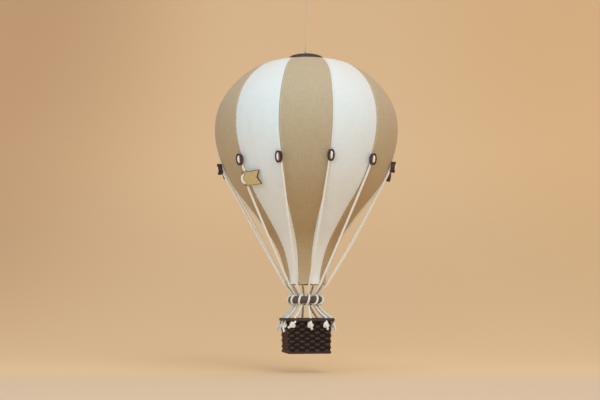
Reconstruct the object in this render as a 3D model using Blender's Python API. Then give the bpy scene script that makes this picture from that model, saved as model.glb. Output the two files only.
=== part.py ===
"""Hanging toy hot air balloon: twelve sewn gores, toggles, cords, a wound ring and a woven basket.

Metres, +Z up. The origin is the inner top of the loop that the balloon hangs by.
Azimuths are in degrees about Z, 0 towards -Y, growing towards +X.
"""
import math

import bmesh
import bpy
from mathutils import Vector

MM = 0.001

# Heights
CROWN_Z = -76.0 * MM

# Envelope
GORES = 12
GORE_STEP = 360.0 / GORES
WALL = 2.0 * MM
SEAM_GAP = 0.3 * MM
GORE_ROWS_PER_SPAN = 2
GORE_COLUMNS = 2
# Radius and depth below the crown, from the cap down to the mouth's hem
PROFILE = (
    (5.0, 7.0), (20.0, 11.6), (40.0, 17.6), (60.0, 24.2), (80.0, 40.5), (95.0, 62.5), (100.5, 87.0),
    (97.2, 115.0), (82.6, 150.0), (54.5, 186.0), (33.8, 216.0), (24.4, 240.0), (21.4, 257.5),
)

# Crown cap and its knot
CAP_R = 19.6 * MM
CAP_RIM_TOP = 6.6 * MM
CAP_APEX = 1.4 * MM
CAP_EDGE_ROUND = 0.8 * MM
KNOT_R = 1.5 * MM
KNOT_TOP = 2.4 * MM

# Hanging thread
THREAD_R = 0.4 * MM
LOOP_R = 4.4 * MM
LOOP_KNOT_R = 1.3 * MM

# Toggles on the seams
TOGGLE_W = 6.6 * MM
TOGGLE_H = 12.7 * MM
TOGGLE_DEPTH = 4.8 * MM
TOGGLE_WALL = 1.35 * MM
TOGGLE_LEVEL = 134.3 * MM
TOGGLE_LEAN = 8.0
TOGGLE_SEGMENTS = 14

# Cords
CORD_R = 1.2 * MM
CORD_SIDES = 8
CLEAR = 0.3 * MM
CORD_TWIST = -5.0
TAG_CORD = 11
HEM_PASS_R = 23.1 * MM
HEM_PASS_LEVEL = 257.8 * MM

# Ring
RING_LEVEL = 273.7 * MM
RING_MAJOR = 14.55 * MM
RING_MINOR = 4.2 * MM
RING_SEGMENTS = 30
RING_SIDES = 8
WRAP_SINK = 0.8 * MM
WRAP_SLANT = 1.6 * MM
WRAP_STEPS = 6
WRAP_SWEEP = 200.0
# Every piece on the ring stays inside this sphere, and the cords above and below stay outside it
SWAY_R = 21.2 * MM

# Basket
BASKET_YAW = 10.5
RIM_TOP = 292.8 * MM
RIM_H = 3.6 * MM
RIM_HALF = 24.9 * MM
RIM_IN = 21.7 * MM
BASKET_TOP_HALF = 24.0 * MM
BASKET_FLOOR_HALF = 22.8 * MM
BASKET_BOTTOM = 330.0 * MM
BASKET_WALL = 2.0 * MM
CORNER_R = 2.6 * MM
CORNER_STEPS = 3
KNOT_SPACING = 16.5 * MM
KNOT_LEVEL = 300.3 * MM
HOLE_R = 1.6 * MM
BASKET_KNOT_R = 2.7 * MM

# Tag
TAG_W = 21.0 * MM
TAG_H = 14.6 * MM
TAG_T = 1.5 * MM
TAG_NOTCH = 4.2 * MM
TAG_LEVEL = 150.2 * MM
TAG_TURN = 18.0
TAG_TILT = 8.5
TAG_ROLL = 5.0
TAG_OFFSET = 4.4 * MM
TAG_SHIFT = 1.2 * MM
TAG_HOLE_H = 4.9 * MM
TAG_HOLE_R = 1.7 * MM
TAG_EDGE = 2.3 * MM

RING_CENTRE = Vector((0.0, 0.0, CROWN_Z - RING_LEVEL))


def level(depth):
    """Height of a depth below the crown."""
    return CROWN_Z - depth


def outward(azimuth):
    """Unit vector out from the axis at an azimuth."""
    a = math.radians(azimuth)
    return Vector((math.sin(a), -math.cos(a), 0.0))


def sideways(azimuth):
    """Unit vector along the circle at an azimuth, towards larger azimuths."""
    a = math.radians(azimuth)
    return Vector((math.cos(a), math.sin(a), 0.0))


def seam_azimuth(number):
    """Azimuth of the seam that carries cord 1 to 12."""
    return GORE_STEP * (number - 0.5)


def catmull_rom(points, per_span):
    """Smooth curve through points, given as tuples of the same length."""
    ends = [points[0]] + list(points) + [points[-1]]
    out = []
    for i in range(len(points) - 1):
        a, b, c, d = ends[i:i + 4]
        for step in range(per_span):
            t = step / per_span
            out.append(tuple(
                0.5 * (2 * q + (r - p) * t + (2 * p - 5 * q + 4 * r - s) * t * t
                       + (3 * q - p - 3 * r + s) * t ** 3)
                for p, q, r, s in zip(a, b, c, d)))
    out.append(tuple(points[-1]))
    return out


def envelope_profile(per_span):
    """Outer profile of the fabric as (radius, height) pairs in metres."""
    return [(r * MM, level(d * MM)) for r, d in catmull_rom(PROFILE, per_span)]


def fabric_radius(z):
    """Outer radius of the fabric below the equator at a height."""
    line = envelope_profile(16)
    for (r0, z0), (r1, z1) in zip(line, line[1:]):
        if z0 >= z >= z1:
            return r0 + (r1 - r0) * (z - z0) / (z1 - z0)
    return line[-1][0]


def srgb(red, green, blue):
    """Linear colour of an sRGB colour given in 0 to 255."""
    def one(value):
        v = value / 255.0
        return v / 12.92 if v <= 0.04045 else ((v + 0.055) / 1.055) ** 2.4
    return (one(red), one(green), one(blue), 1.0)


def material(name, colour, roughness, metallic=0.0):
    """Principled material of one colour."""
    mat = bpy.data.materials.new(name)
    mat.use_nodes = True
    shader = mat.node_tree.nodes["Principled BSDF"]
    shader.inputs["Base Color"].default_value = colour
    shader.inputs["Roughness"].default_value = roughness
    shader.inputs["Metallic"].default_value = metallic
    return mat


def add_object(name, bm, mat, pivot):
    """Object from a bmesh in world coordinates, with its origin at the pivot of its body."""
    bmesh.ops.recalc_face_normals(bm, faces=bm.faces)
    bmesh.ops.translate(bm, verts=bm.verts, vec=-pivot)
    mesh = bpy.data.meshes.new(name)
    bm.to_mesh(mesh)
    bm.free()
    mesh.shade_smooth()
    mesh.set_sharp_from_angle(angle=math.radians(40))
    mesh.materials.append(mat)
    obj = bpy.data.objects.new(name, mesh)
    obj.location = pivot
    bpy.context.collection.objects.link(obj)
    return obj


def skin_loops(bm, loops, closed=False):
    """Bridges loops of points of the same count, capping both ends unless the loops form a ring."""
    rows = [[bm.verts.new(p) for p in loop] for loop in loops]
    count = len(rows[0])
    pairs = list(zip(rows, rows[1:]))
    if closed:
        pairs.append((rows[-1], rows[0]))
    for low, high in pairs:
        for i in range(count):
            j = (i + 1) % count
            bm.faces.new((low[i], low[j], high[j], high[i]))
    if not closed:
        bm.faces.new(list(reversed(rows[0])))
        bm.faces.new(rows[-1])


def tube_loops(points, radii, sides, start_normal=None, end_normal=None):
    """Loops of a tube along points. A given normal tilts the tube's end face."""
    points = [Vector(p) for p in points]
    steps = [(b - a).normalized() for a, b in zip(points, points[1:])]
    tangents = [steps[0]] + [(a + b).normalized() for a, b in zip(steps, steps[1:])] + [steps[-1]]
    side = tangents[0].orthogonal().normalized()
    loops = []
    for i, (point, tangent, radius) in enumerate(zip(points, tangents, radii)):
        side = (side - tangent * side.dot(tangent)).normalized()
        other = tangent.cross(side)
        loop = []
        for k in range(sides):
            angle = 2 * math.pi * k / sides
            loop.append(point + (side * math.cos(angle) + other * math.sin(angle)) * radius)
        normal = None
        if i == 0:
            normal = start_normal
        elif i == len(points) - 1:
            normal = end_normal
        if normal is not None:
            loop = [v + tangent * (normal.dot(point - v) / normal.dot(tangent)) for v in loop]
        loops.append(loop)
    return loops


def turned(bm, section, segments):
    """Solid of revolution about Z from an open (radius, height) section that starts and ends on the axis."""
    bottom = bm.verts.new((0.0, 0.0, section[0][1]))
    top = bm.verts.new((0.0, 0.0, section[-1][1]))
    rows = []
    for radius, z in section[1:-1]:
        rows.append([bm.verts.new(outward(360.0 * k / segments) * radius + Vector((0, 0, z)))
                     for k in range(segments)])
    for k in range(segments):
        j = (k + 1) % segments
        bm.faces.new((bottom, rows[0][j], rows[0][k]))
        bm.faces.new((top, rows[-1][k], rows[-1][j]))
        for low, high in zip(rows, rows[1:]):
            bm.faces.new((low[k], low[j], high[j], high[k]))


def sphere_crossing(inside, outside, centre, radius):
    """Point where the line from inside to outside crosses a sphere."""
    low, high = 0.0, 1.0
    for _ in range(50):
        mid = (low + high) / 2
        if (inside.lerp(outside, mid) - centre).length < radius:
            low = mid
        else:
            high = mid
    return inside.lerp(outside, low)


def make_gore(number, mat):
    """One sewn panel, with a seam gap to each neighbour."""
    middle = GORE_STEP * (number - 1)
    outer = envelope_profile(GORE_ROWS_PER_SPAN)
    bm = bmesh.new()
    loops = []
    for i, (r, z) in enumerate(outer):
        before = outer[max(i - 1, 0)]
        after = outer[min(i + 1, len(outer) - 1)]
        along = Vector((after[0] - before[0], after[1] - before[1])).normalized()
        inner_r = r + along.y * WALL
        inner_z = z - along.x * WALL
        loop = []
        for radius, height, order in ((r, z, 1), (inner_r, inner_z, -1)):
            half = GORE_STEP / 2 - math.degrees(math.asin(SEAM_GAP / 2 / radius))
            row = []
            for k in range(GORE_COLUMNS + 1):
                azimuth = middle + half * (2 * k / GORE_COLUMNS - 1)
                row.append(outward(azimuth) * radius + Vector((0, 0, height)))
            loop += row[::order]
        loops.append(loop)
    skin_loops(bm, loops)
    return add_object(f"gore_{number:02d}", bm, mat, Vector((0, 0, 0)))


def toggle_frame(number):
    """Centre, outward, up and sideways vectors of a toggle."""
    azimuth = seam_azimuth(number)
    lean = math.radians(TOGGLE_LEAN)
    out = outward(azimuth) * math.cos(lean) - Vector((0, 0, math.sin(lean)))
    up = outward(azimuth) * math.sin(lean) + Vector((0, 0, math.cos(lean)))
    corner_rise = TOGGLE_H / 2 * math.cos(lean) + TOGGLE_DEPTH / 2 * math.sin(lean)
    corner_out = TOGGLE_H / 2 * math.sin(lean) - TOGGLE_DEPTH / 2 * math.cos(lean)
    radius = fabric_radius(level(TOGGLE_LEVEL) + corner_rise) + CLEAR - corner_out
    centre = outward(azimuth) * radius + Vector((0, 0, level(TOGGLE_LEVEL)))
    return centre, out, up, sideways(azimuth)


def make_toggle(number, mat):
    """Oval ring that stands on the seam with its hole facing out."""
    centre, out, up, side = toggle_frame(number)
    half_wall = TOGGLE_WALL / 2
    half_depth = TOGGLE_DEPTH / 2
    soft = 0.45 * MM
    section = (
        (half_wall, half_depth - soft), (half_wall - soft, half_depth), (soft - half_wall, half_depth),
        (-half_wall, half_depth - soft), (-half_wall, soft - half_depth), (soft - half_wall, -half_depth),
        (half_wall - soft, -half_depth), (half_wall, soft - half_depth),
    )
    loops = []
    for k in range(TOGGLE_SEGMENTS):
        angle = 2 * math.pi * k / TOGGLE_SEGMENTS
        normal = Vector((math.cos(angle) * TOGGLE_H, math.sin(angle) * TOGGLE_W, 0)).normalized()
        u = math.cos(angle) * (TOGGLE_W / 2 - half_wall)
        v = math.sin(angle) * (TOGGLE_H / 2 - half_wall)
        loop = []
        for across, deep in section:
            loop.append(centre + side * (u + normal.x * across) + up * (v + normal.y * across) + out * deep)
        loops.append(loop)
    bm = bmesh.new()
    skin_loops(bm, loops, closed=True)
    return add_object(f"toggle_{number:02d}", bm, mat, Vector((0, 0, 0)))


def ring_point(number, outwards, rise, along=0.0):
    """Point near the ring's section at a cord, from the section's centre."""
    azimuth = seam_azimuth(number) + CORD_TWIST
    return (RING_CENTRE + outward(azimuth) * (RING_MAJOR + outwards) + Vector((0, 0, rise))
            + sideways(azimuth) * along)


def cord_top(number):
    """Points of the cord in and behind its toggle, from the hole down to the start of the straight run."""
    centre, out, up, _ = toggle_frame(number)
    bight = (
        (-1.9, 3.3), (0.0, 3.3), (1.1, 2.3), (1.6, 0.8), (1.6, -0.8), (1.1, -2.3), (-0.4, -3.2),
        (-2.4, -3.5), (-3.7, -4.6), (-3.9, -6.6),
    )
    return [centre + out * (o * MM) + up * (u * MM) for o, u in bight]


def hem_point(number):
    """Point beside the hem where a cord bends in towards the ring."""
    return outward(seam_azimuth(number) + CORD_TWIST) * HEM_PASS_R + Vector((0, 0, level(HEM_PASS_LEVEL)))


def tag_frame():
    """Centre on the cord, and the tag's across, up and normal vectors."""
    top = cord_top(TAG_CORD)[-1]
    foot = hem_point(TAG_CORD)
    up = (top - foot).normalized()
    centre = top + (foot - top) * ((level(TAG_LEVEL) - top.z) / (foot.z - top.z))
    azimuth = math.degrees(math.atan2(centre.x, -centre.y))
    turn = math.radians(TAG_TURN)
    across = sideways(azimuth) * math.cos(turn) - outward(azimuth) * math.sin(turn)
    across = (across - up * across.dot(up)).normalized()
    normal = across.cross(up)
    centre = centre + normal * TAG_OFFSET - across * TAG_SHIFT
    tilt, roll = math.radians(TAG_TILT), math.radians(TAG_ROLL)
    up, normal = up * math.cos(tilt) - normal * math.sin(tilt), normal * math.cos(tilt) + up * math.sin(tilt)
    across, up = across * math.cos(roll) - up * math.sin(roll), up * math.cos(roll) + across * math.sin(roll)
    return centre, across, up, normal


def tag_thread():
    """Points and thickness shares of the cord through the tag's two holes, from above to below."""
    centre, _, up, normal = tag_frame()
    half = (
        (8.6, -2.1, 1.0), (6.9, -2.35, 1.0), (5.8, -1.3, 0.55), (4.9, 0.0, 0.55), (4.0, 1.3, 0.55),
        (2.7, 2.3, 1.0),
    )
    rows = list(half) + [(-h, n, share) for h, n, share in reversed(half)]
    points = [centre + up * (h * MM) + normal * (n * MM) for h, n, _ in rows]
    return points, [share for _, _, share in rows]


def make_upper_cord(number, mat):
    """Stay from its toggle down to the sphere round the ring."""
    points = cord_top(number)
    shares = [1.0] * len(points)
    if number == TAG_CORD:
        more, thinner = tag_thread()
        points += more
        shares += thinner
    foot = ring_point(number, -1.0 * MM, 3.5 * MM)
    end = sphere_crossing(foot, hem_point(number), RING_CENTRE, SWAY_R + CLEAR / 2)
    points += [hem_point(number), end]
    shares += [1.0, 1.0]
    radial = (end - RING_CENTRE).normalized()
    bm = bmesh.new()
    skin_loops(bm, tube_loops(points, [CORD_R * s for s in shares], CORD_SIDES, None, radial))
    return add_object(f"cord_{number:02d}_upper", bm, mat, Vector((0, 0, 0)))


def knot_face(number):
    """Face azimuth and place along it of a cord's knot on the basket."""
    turn = (number % GORES)
    return BASKET_YAW + 90.0 * (turn // 3), (turn % 3 - 1) * KNOT_SPACING


def basket_point(number, depth_out, depth):
    """Point at a cord's knot, at a distance from the basket's middle plane and a depth below the crown."""
    azimuth, along = knot_face(number)
    return outward(azimuth) * depth_out + sideways(azimuth) * along + Vector((0, 0, level(depth)))


def wall_half(depth):
    """Half width of the basket's outer wall at a depth below the crown."""
    share = (depth - RIM_TOP) / (BASKET_BOTTOM - RIM_TOP)
    return BASKET_TOP_HALF + (BASKET_FLOOR_HALF - BASKET_TOP_HALF) * share


def lower_foot(number):
    """Point just inside the rim that a lower cord runs to from the ring."""
    return basket_point(number, RIM_IN - CLEAR - CORD_R, RIM_TOP)


def make_lower_cord(number, mat):
    """Stay from the sphere round the ring into the basket, out through its wall and into a knot."""
    start_inside = ring_point(number, 0.0, -3.5 * MM, 0.6 * MM)
    foot = lower_foot(number)
    start = sphere_crossing(start_inside, foot, RING_CENTRE, SWAY_R + CLEAR / 2)
    outer = wall_half(KNOT_LEVEL)
    run = RIM_IN - CLEAR - CORD_R
    points = [
        start, foot,
        basket_point(number, run, KNOT_LEVEL - 1.3 * MM),
        basket_point(number, run + 0.3 * MM, KNOT_LEVEL - 0.3 * MM),
        basket_point(number, run + 1.3 * MM, KNOT_LEVEL),
        basket_point(number, outer + CLEAR, KNOT_LEVEL),
        basket_point(number, outer + CLEAR + 0.5 * MM, KNOT_LEVEL),
        basket_point(number, outer + CLEAR + 1.4 * MM, KNOT_LEVEL),
        basket_point(number, outer + CLEAR + 2.7 * MM, KNOT_LEVEL),
        basket_point(number, outer + CLEAR + 4.2 * MM, KNOT_LEVEL),
        basket_point(number, outer + CLEAR + 5.0 * MM, KNOT_LEVEL),
    ]
    big = BASKET_KNOT_R
    radii = [CORD_R] * 6 + [0.72 * big, 0.95 * big, big, 0.75 * big, 0.35 * big]
    radial = (start - RING_CENTRE).normalized()
    bm = bmesh.new()
    skin_loops(bm, tube_loops(points, radii, CORD_SIDES, radial, None))
    return add_object(f"cord_{number:02d}_lower", bm, mat, RING_CENTRE)


def make_ring(mat):
    """Thick ring with a turn of each cord on its outer face and the cords' ends above and below."""
    loops = []
    for k in range(RING_SEGMENTS):
        azimuth = 360.0 * k / RING_SEGMENTS
        loop = []
        for s in range(RING_SIDES):
            angle = 2 * math.pi * s / RING_SIDES
            loop.append(RING_CENTRE + outward(azimuth) * (RING_MAJOR + RING_MINOR * math.cos(angle))
                        + Vector((0, 0, RING_MINOR * math.sin(angle))))
        loops.append(loop)
    bm = bmesh.new()
    skin_loops(bm, loops, closed=True)
    ring = add_object("ring", bm, mat, RING_CENTRE)

    turn_r = RING_MINOR + CORD_R - WRAP_SINK
    turns = bmesh.new()
    ends = bmesh.new()
    for number in range(1, GORES + 1):
        points = []
        for k in range(WRAP_STEPS + 1):
            angle = math.radians(WRAP_SWEEP * (0.5 - k / WRAP_STEPS))
            slant = WRAP_SLANT * (1 - 2 * k / WRAP_STEPS)
            points.append(ring_point(number, turn_r * math.cos(angle), turn_r * math.sin(angle), slant))
        skin_loops(turns, tube_loops(points, [CORD_R] * len(points), 6))

        top_in = ring_point(number, -1.0 * MM, 3.5 * MM)
        top = sphere_crossing(top_in, hem_point(number), RING_CENTRE, SWAY_R - CLEAR / 2)
        foot_in = ring_point(number, 0.0, -3.5 * MM, 0.6 * MM)
        foot = sphere_crossing(foot_in, lower_foot(number), RING_CENTRE, SWAY_R - CLEAR / 2)
        normals = [(p - RING_CENTRE).normalized() for p in (top, foot)]
        points = [top, top_in, foot_in, foot]
        skin_loops(ends, tube_loops(points, [CORD_R] * 4, 6, normals[0], normals[1]))
    # EXACT leaves open slivers where the turns graze the ring
    add_cutter("ring_turns", turns, ring, "UNION", "MANIFOLD")
    add_cutter("ring_ends", ends, ring, "UNION", "MANIFOLD")
    return ring


def add_cutter(name, bm, target, operation, solver="EXACT"):
    """Adds a guide solid that a Boolean modifier of the target uses."""
    guide = add_object(name, bm, target.data.materials[0], Vector((0, 0, 0)))
    guide.hide_render = True
    guide.display_type = "WIRE"
    cut = target.modifiers.new(name, "BOOLEAN")
    cut.object = guide
    cut.operation = operation
    cut.solver = solver
    return guide


def rounded_square(half, corner, z):
    """Loop of a square with round corners, turned by the basket's yaw."""
    loop = []
    for side in range(4):
        azimuth = BASKET_YAW + 90.0 * side
        middle = (outward(azimuth) + sideways(azimuth)) * (half - corner)
        for k in range(CORNER_STEPS + 1):
            turn = azimuth + 90.0 * k / CORNER_STEPS
            loop.append(middle + outward(turn) * corner + Vector((0, 0, z)))
    return loop


def make_basket_body(mat):
    """Tapered tub with a floor, open at the top, with a hole in its wall for each cord."""
    top = RIM_TOP + RIM_H + CLEAR
    floor = BASKET_BOTTOM - BASKET_WALL
    outer = ((BASKET_BOTTOM, BASKET_FLOOR_HALF - 0.8 * MM), (BASKET_BOTTOM - 0.8 * MM, BASKET_FLOOR_HALF),
             (top, wall_half(top)))
    inner = ((top, wall_half(top) - BASKET_WALL), (floor, wall_half(floor) - BASKET_WALL))
    loops = [rounded_square(half, CORNER_R, level(d)) for d, half in outer]
    loops += [rounded_square(half, CORNER_R - 1.6 * MM, level(d)) for d, half in inner]
    bm = bmesh.new()
    skin_loops(bm, loops)
    body = add_object("basket_body", bm, mat, RING_CENTRE)

    bm = bmesh.new()
    for number in range(1, GORES + 1):
        points = [basket_point(number, wall_half(KNOT_LEVEL) + shift, KNOT_LEVEL)
                  for shift in (-2 * BASKET_WALL, BASKET_WALL)]
        skin_loops(bm, tube_loops(points, [HOLE_R] * 2, 10))
    add_cutter("basket_holes", bm, body, "DIFFERENCE")
    return body


def make_basket_rim(mat):
    """Bound rim that lies on the walls' upper edge."""
    soft = 0.9 * MM
    section = (
        (RIM_HALF - soft, RIM_TOP), (RIM_HALF, RIM_TOP + soft), (RIM_HALF, RIM_TOP + RIM_H - soft),
        (RIM_HALF - soft, RIM_TOP + RIM_H), (RIM_IN + soft, RIM_TOP + RIM_H),
        (RIM_IN, RIM_TOP + RIM_H - soft), (RIM_IN, RIM_TOP + soft), (RIM_IN + soft, RIM_TOP),
    )
    loops = []
    for half, depth in section:
        corner = CORNER_R if half > (RIM_HALF + RIM_IN) / 2 else 1.0 * MM
        loops.append(rounded_square(half, corner, level(depth)))
    bm = bmesh.new()
    skin_loops(bm, loops, closed=True)
    return add_object("basket_rim", bm, mat, RING_CENTRE)


def make_cap(mat):
    """Shallow round cap that lies on the fabric at the crown."""
    slope = (PROFILE[1][1] - PROFILE[0][1]) / (PROFILE[1][0] - PROFILE[0][0])
    fabric_rim = level(PROFILE[1][1] * MM) + CLEAR
    fabric_axis = fabric_rim + slope * PROFILE[1][0] * MM
    mid_r = CAP_R / 2
    mid_top = CAP_APEX + (CAP_RIM_TOP - CAP_APEX) * 0.25
    section = [
        (0.0, fabric_axis),
        (CAP_R - CAP_EDGE_ROUND, fabric_axis - slope * (CAP_R - CAP_EDGE_ROUND)),
        (CAP_R, fabric_axis - slope * CAP_R + CAP_EDGE_ROUND / 2),
        (CAP_R, level(CAP_RIM_TOP + CAP_EDGE_ROUND)),
        (CAP_R - CAP_EDGE_ROUND, level(CAP_RIM_TOP)),
        (mid_r, level(mid_top)),
        (0.0, level(CAP_APEX)),
    ]
    bm = bmesh.new()
    turned(bm, section, 28)
    return add_object("crown_cap", bm, mat, Vector((0, 0, 0)))


def make_crown_knot(mat):
    """Knot of the thread on top of the cap, drawn out into a cone."""
    base = level(CAP_APEX) + CLEAR
    top = CROWN_Z + KNOT_TOP
    section = [
        (0.0, base), (KNOT_R * 0.8, base), (KNOT_R, base + 0.8 * MM), (KNOT_R * 0.7, base + 1.7 * MM),
        (THREAD_R * 1.2, top), (0.0, top),
    ]
    bm = bmesh.new()
    turned(bm, section, 10)
    return add_object("crown_knot", bm, mat, Vector((0, 0, 0)))


def make_thread(mat):
    """Hanging thread with the loop at its upper end, its knot below the loop."""
    loop_centre = Vector((0, 0, THREAD_R - LOOP_R))
    knot_z = loop_centre.z - LOOP_R - LOOP_KNOT_R * 0.6
    bm = bmesh.new()
    points = [(0, 0, CROWN_Z + KNOT_TOP + CLEAR), (0, 0, knot_z)]
    skin_loops(bm, tube_loops(points, [THREAD_R] * 2, 8))
    thread = add_object("hanging_thread", bm, mat, Vector((0, 0, 0)))

    bm = bmesh.new()
    loops = []
    for k in range(20):
        angle = 2 * math.pi * k / 20
        out = Vector((math.cos(angle), 0, math.sin(angle)))
        loops.append([loop_centre + out * (LOOP_R + THREAD_R * math.cos(a)) + Vector((0, THREAD_R * math.sin(a), 0))
                      for a in (2 * math.pi * s / 6 for s in range(6))])
    skin_loops(bm, loops, closed=True)
    add_cutter("thread_loop", bm, thread, "UNION")

    bm = bmesh.new()
    bmesh.ops.create_icosphere(bm, subdivisions=2, radius=LOOP_KNOT_R)
    bmesh.ops.translate(bm, verts=bm.verts, vec=Vector((0, 0, knot_z)))
    add_cutter("thread_loop_knot", bm, thread, "UNION")
    return thread


def make_tag(mat):
    """Flat flag with a swallow tail, threaded on one cord by two holes."""
    centre, across, up, normal = tag_frame()
    outline = (
        (-TAG_EDGE, -TAG_H / 2), (TAG_W - TAG_EDGE, -TAG_H / 2), (TAG_W - TAG_EDGE - TAG_NOTCH, 0.0),
        (TAG_W - TAG_EDGE, TAG_H / 2), (-TAG_EDGE, TAG_H / 2),
    )
    loops = [[centre + across * x + up * y + normal * n for x, y in outline]
             for n in (-TAG_T / 2, TAG_T / 2)]
    bm = bmesh.new()
    skin_loops(bm, loops)
    tag = add_object("tag", bm, mat, Vector((0, 0, 0)))

    bm = bmesh.new()
    for height in (-TAG_HOLE_H, TAG_HOLE_H):
        points = [centre + up * height + normal * n for n in (-TAG_T, TAG_T)]
        skin_loops(bm, tube_loops(points, [TAG_HOLE_R] * 2, 12))
    add_cutter("tag_holes", bm, tag, "DIFFERENCE")
    return tag


def main():
    for obj in list(bpy.data.objects):
        bpy.data.objects.remove(obj, do_unlink=True)
    tan = material("tan_fabric", srgb(176, 155, 122), 0.85)
    white = material("white_fabric", srgb(215, 215, 210), 0.85)
    cord = material("cream_cord", srgb(232, 224, 206), 0.9)
    leather = material("dark_leather", srgb(70, 38, 28), 0.45)
    cap_leather = material("cap_leather", srgb(60, 38, 40), 0.55)
    ring_cord = material("ring_winding", srgb(80, 60, 55), 0.7)
    wicker = material("wicker", srgb(65, 46, 40), 0.65)
    rim_wicker = material("rim_wicker", srgb(72, 46, 42), 0.6)
    thread = material("thread", srgb(190, 185, 178), 0.7)
    plywood = material("plywood", srgb(190, 165, 100), 0.6)

    make_thread(thread)
    make_crown_knot(thread)
    make_cap(cap_leather)
    for number in range(1, GORES + 1):
        make_gore(number, tan if number % 2 else white)
        make_toggle(number, leather)
        make_upper_cord(number, cord)
        make_lower_cord(number, cord)
    make_ring(ring_cord)
    make_basket_body(wicker)
    make_basket_rim(rim_wicker)
    make_tag(plywood)


main()
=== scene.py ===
"""Looks of the hanging toy hot air balloon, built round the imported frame.

Metres, in the frame of part.py: +Z up, the origin at the inner top of the hanging loop.
Azimuths are in degrees about Z, 0 towards the camera, growing to its right. Depths run down from the crown.
Colours of the materials are sRGB values of 0 to 255. Texture places run in centimetres along a piece.
"""

import math
import random

import bmesh
import bpy
import numpy as np
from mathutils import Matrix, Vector


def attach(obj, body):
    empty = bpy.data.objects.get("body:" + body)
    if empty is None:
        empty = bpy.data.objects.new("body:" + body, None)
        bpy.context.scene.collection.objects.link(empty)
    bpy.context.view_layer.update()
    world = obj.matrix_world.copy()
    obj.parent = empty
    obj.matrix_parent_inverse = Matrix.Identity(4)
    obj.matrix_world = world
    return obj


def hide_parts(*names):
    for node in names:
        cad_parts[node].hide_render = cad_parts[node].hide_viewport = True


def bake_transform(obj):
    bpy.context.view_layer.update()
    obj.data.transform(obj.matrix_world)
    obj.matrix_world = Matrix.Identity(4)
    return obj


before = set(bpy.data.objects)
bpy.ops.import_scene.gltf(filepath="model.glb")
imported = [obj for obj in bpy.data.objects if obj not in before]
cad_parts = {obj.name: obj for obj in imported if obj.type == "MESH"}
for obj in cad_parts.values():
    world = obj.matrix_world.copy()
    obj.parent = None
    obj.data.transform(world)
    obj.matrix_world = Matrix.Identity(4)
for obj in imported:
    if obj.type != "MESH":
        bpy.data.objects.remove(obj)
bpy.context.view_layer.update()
dice = random.Random(7)

MM = 0.001
CM = 10 * MM
UP = np.array((0.0, 0.0, 1.0))

# Camera, fitted to the photograph
CAMERA_AT = (-0.0068, -0.8834, -0.3616)
CAMERA_PITCH = 7.73
CAMERA_LENS = 49.08
CAMERA_SENSOR = 36.0
CAMERA_CLIP = (0.01, 30.0)

# Sizes repeated from part.py
CROWN_Z = -76.0 * MM
GORES = 12
GORE_STEP = 360.0 / GORES
PROFILE = (
    (5.0, 7.0), (20.0, 11.6), (40.0, 17.6), (60.0, 24.2), (80.0, 40.5), (95.0, 62.5), (100.5, 87.0),
    (97.2, 115.0), (82.6, 150.0), (54.5, 186.0), (33.8, 216.0), (24.4, 240.0), (21.4, 257.5),
)
CAP_R = 20.2 * MM
CAP_RIM_TOP = 6.8 * MM
CAP_APEX = 3.8 * MM
CAP_KNOT_TOP = 2.9 * MM
CLEAR = 0.3 * MM
THREAD_R = 0.3 * MM
CROWN_X = -0.7 * MM
LOOP_R = 4.4 * MM
TOGGLE_W = 6.6 * MM
TOGGLE_H = 12.7 * MM
TOGGLE_DEPTH = 4.8 * MM
TOGGLE_WALL = 1.35 * MM
TOGGLE_LEVEL = 134.3 * MM
TOGGLE_SIDES = 52
TOGGLE_SECTION_SIDES = 18
TOGGLE_LEAN = 8.0
TOGGLE_SHARE = 0.95
CORD_R = 1.2 * MM
CORD_TWIST = -5.0
HEM_PASS_R = 23.1 * MM
HEM_PASS_LEVEL = 257.8 * MM
TAG_CORD = 11
TAG_W = 21.0 * MM
TAG_H = 14.6 * MM
TAG_T = 1.5 * MM
TAG_NOTCH = 4.2 * MM
TAG_LEVEL = 150.2 * MM
TAG_TURN = 18.0
TAG_TILT = 8.5
TAG_ROLL = 5.0
TAG_OFFSET = 4.4 * MM
TAG_SHIFT = 1.2 * MM
TAG_EDGE = 2.3 * MM
TAG_HOLE_H = 4.9 * MM
TAG_HOLE_R = 1.7 * MM
TAG_HOLE_SIDES = 28
TAG_BEVEL = 0.18 * MM
RING_LEVEL = 273.7 * MM
RING_MAJOR = 14.9 * MM
RING_MINOR = 3.75 * MM
BASKET_YAW = 10.5
RIM_TOP = 292.8 * MM
RIM_H = 4.0 * MM
RIM_HALF = 26.2 * MM
RIM_IN = 21.7 * MM
RIM_MIDDLE = (RIM_HALF + RIM_IN) / 2
BASKET_TOP_HALF = 23.5 * MM
BASKET_FLOOR_HALF = 22.5 * MM
BASKET_BOTTOM = 330.0 * MM
BASKET_WALL = 2.0 * MM
CORNER_R = 2.6 * MM
KNOT_SPACING = 16.5 * MM
KNOT_LEVEL = 299.9 * MM

# Places shifted from the part's own, as in the photograph
RING_CENTRE = np.array((-0.8 * MM, 0.0, CROWN_Z - RING_LEVEL))
BASKET_MIDDLE = np.array((-0.5 * MM, 0.0, 0.0))
CAP_MIDDLE = np.array((CROWN_X / 2, 0.0, 0.0))

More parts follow.
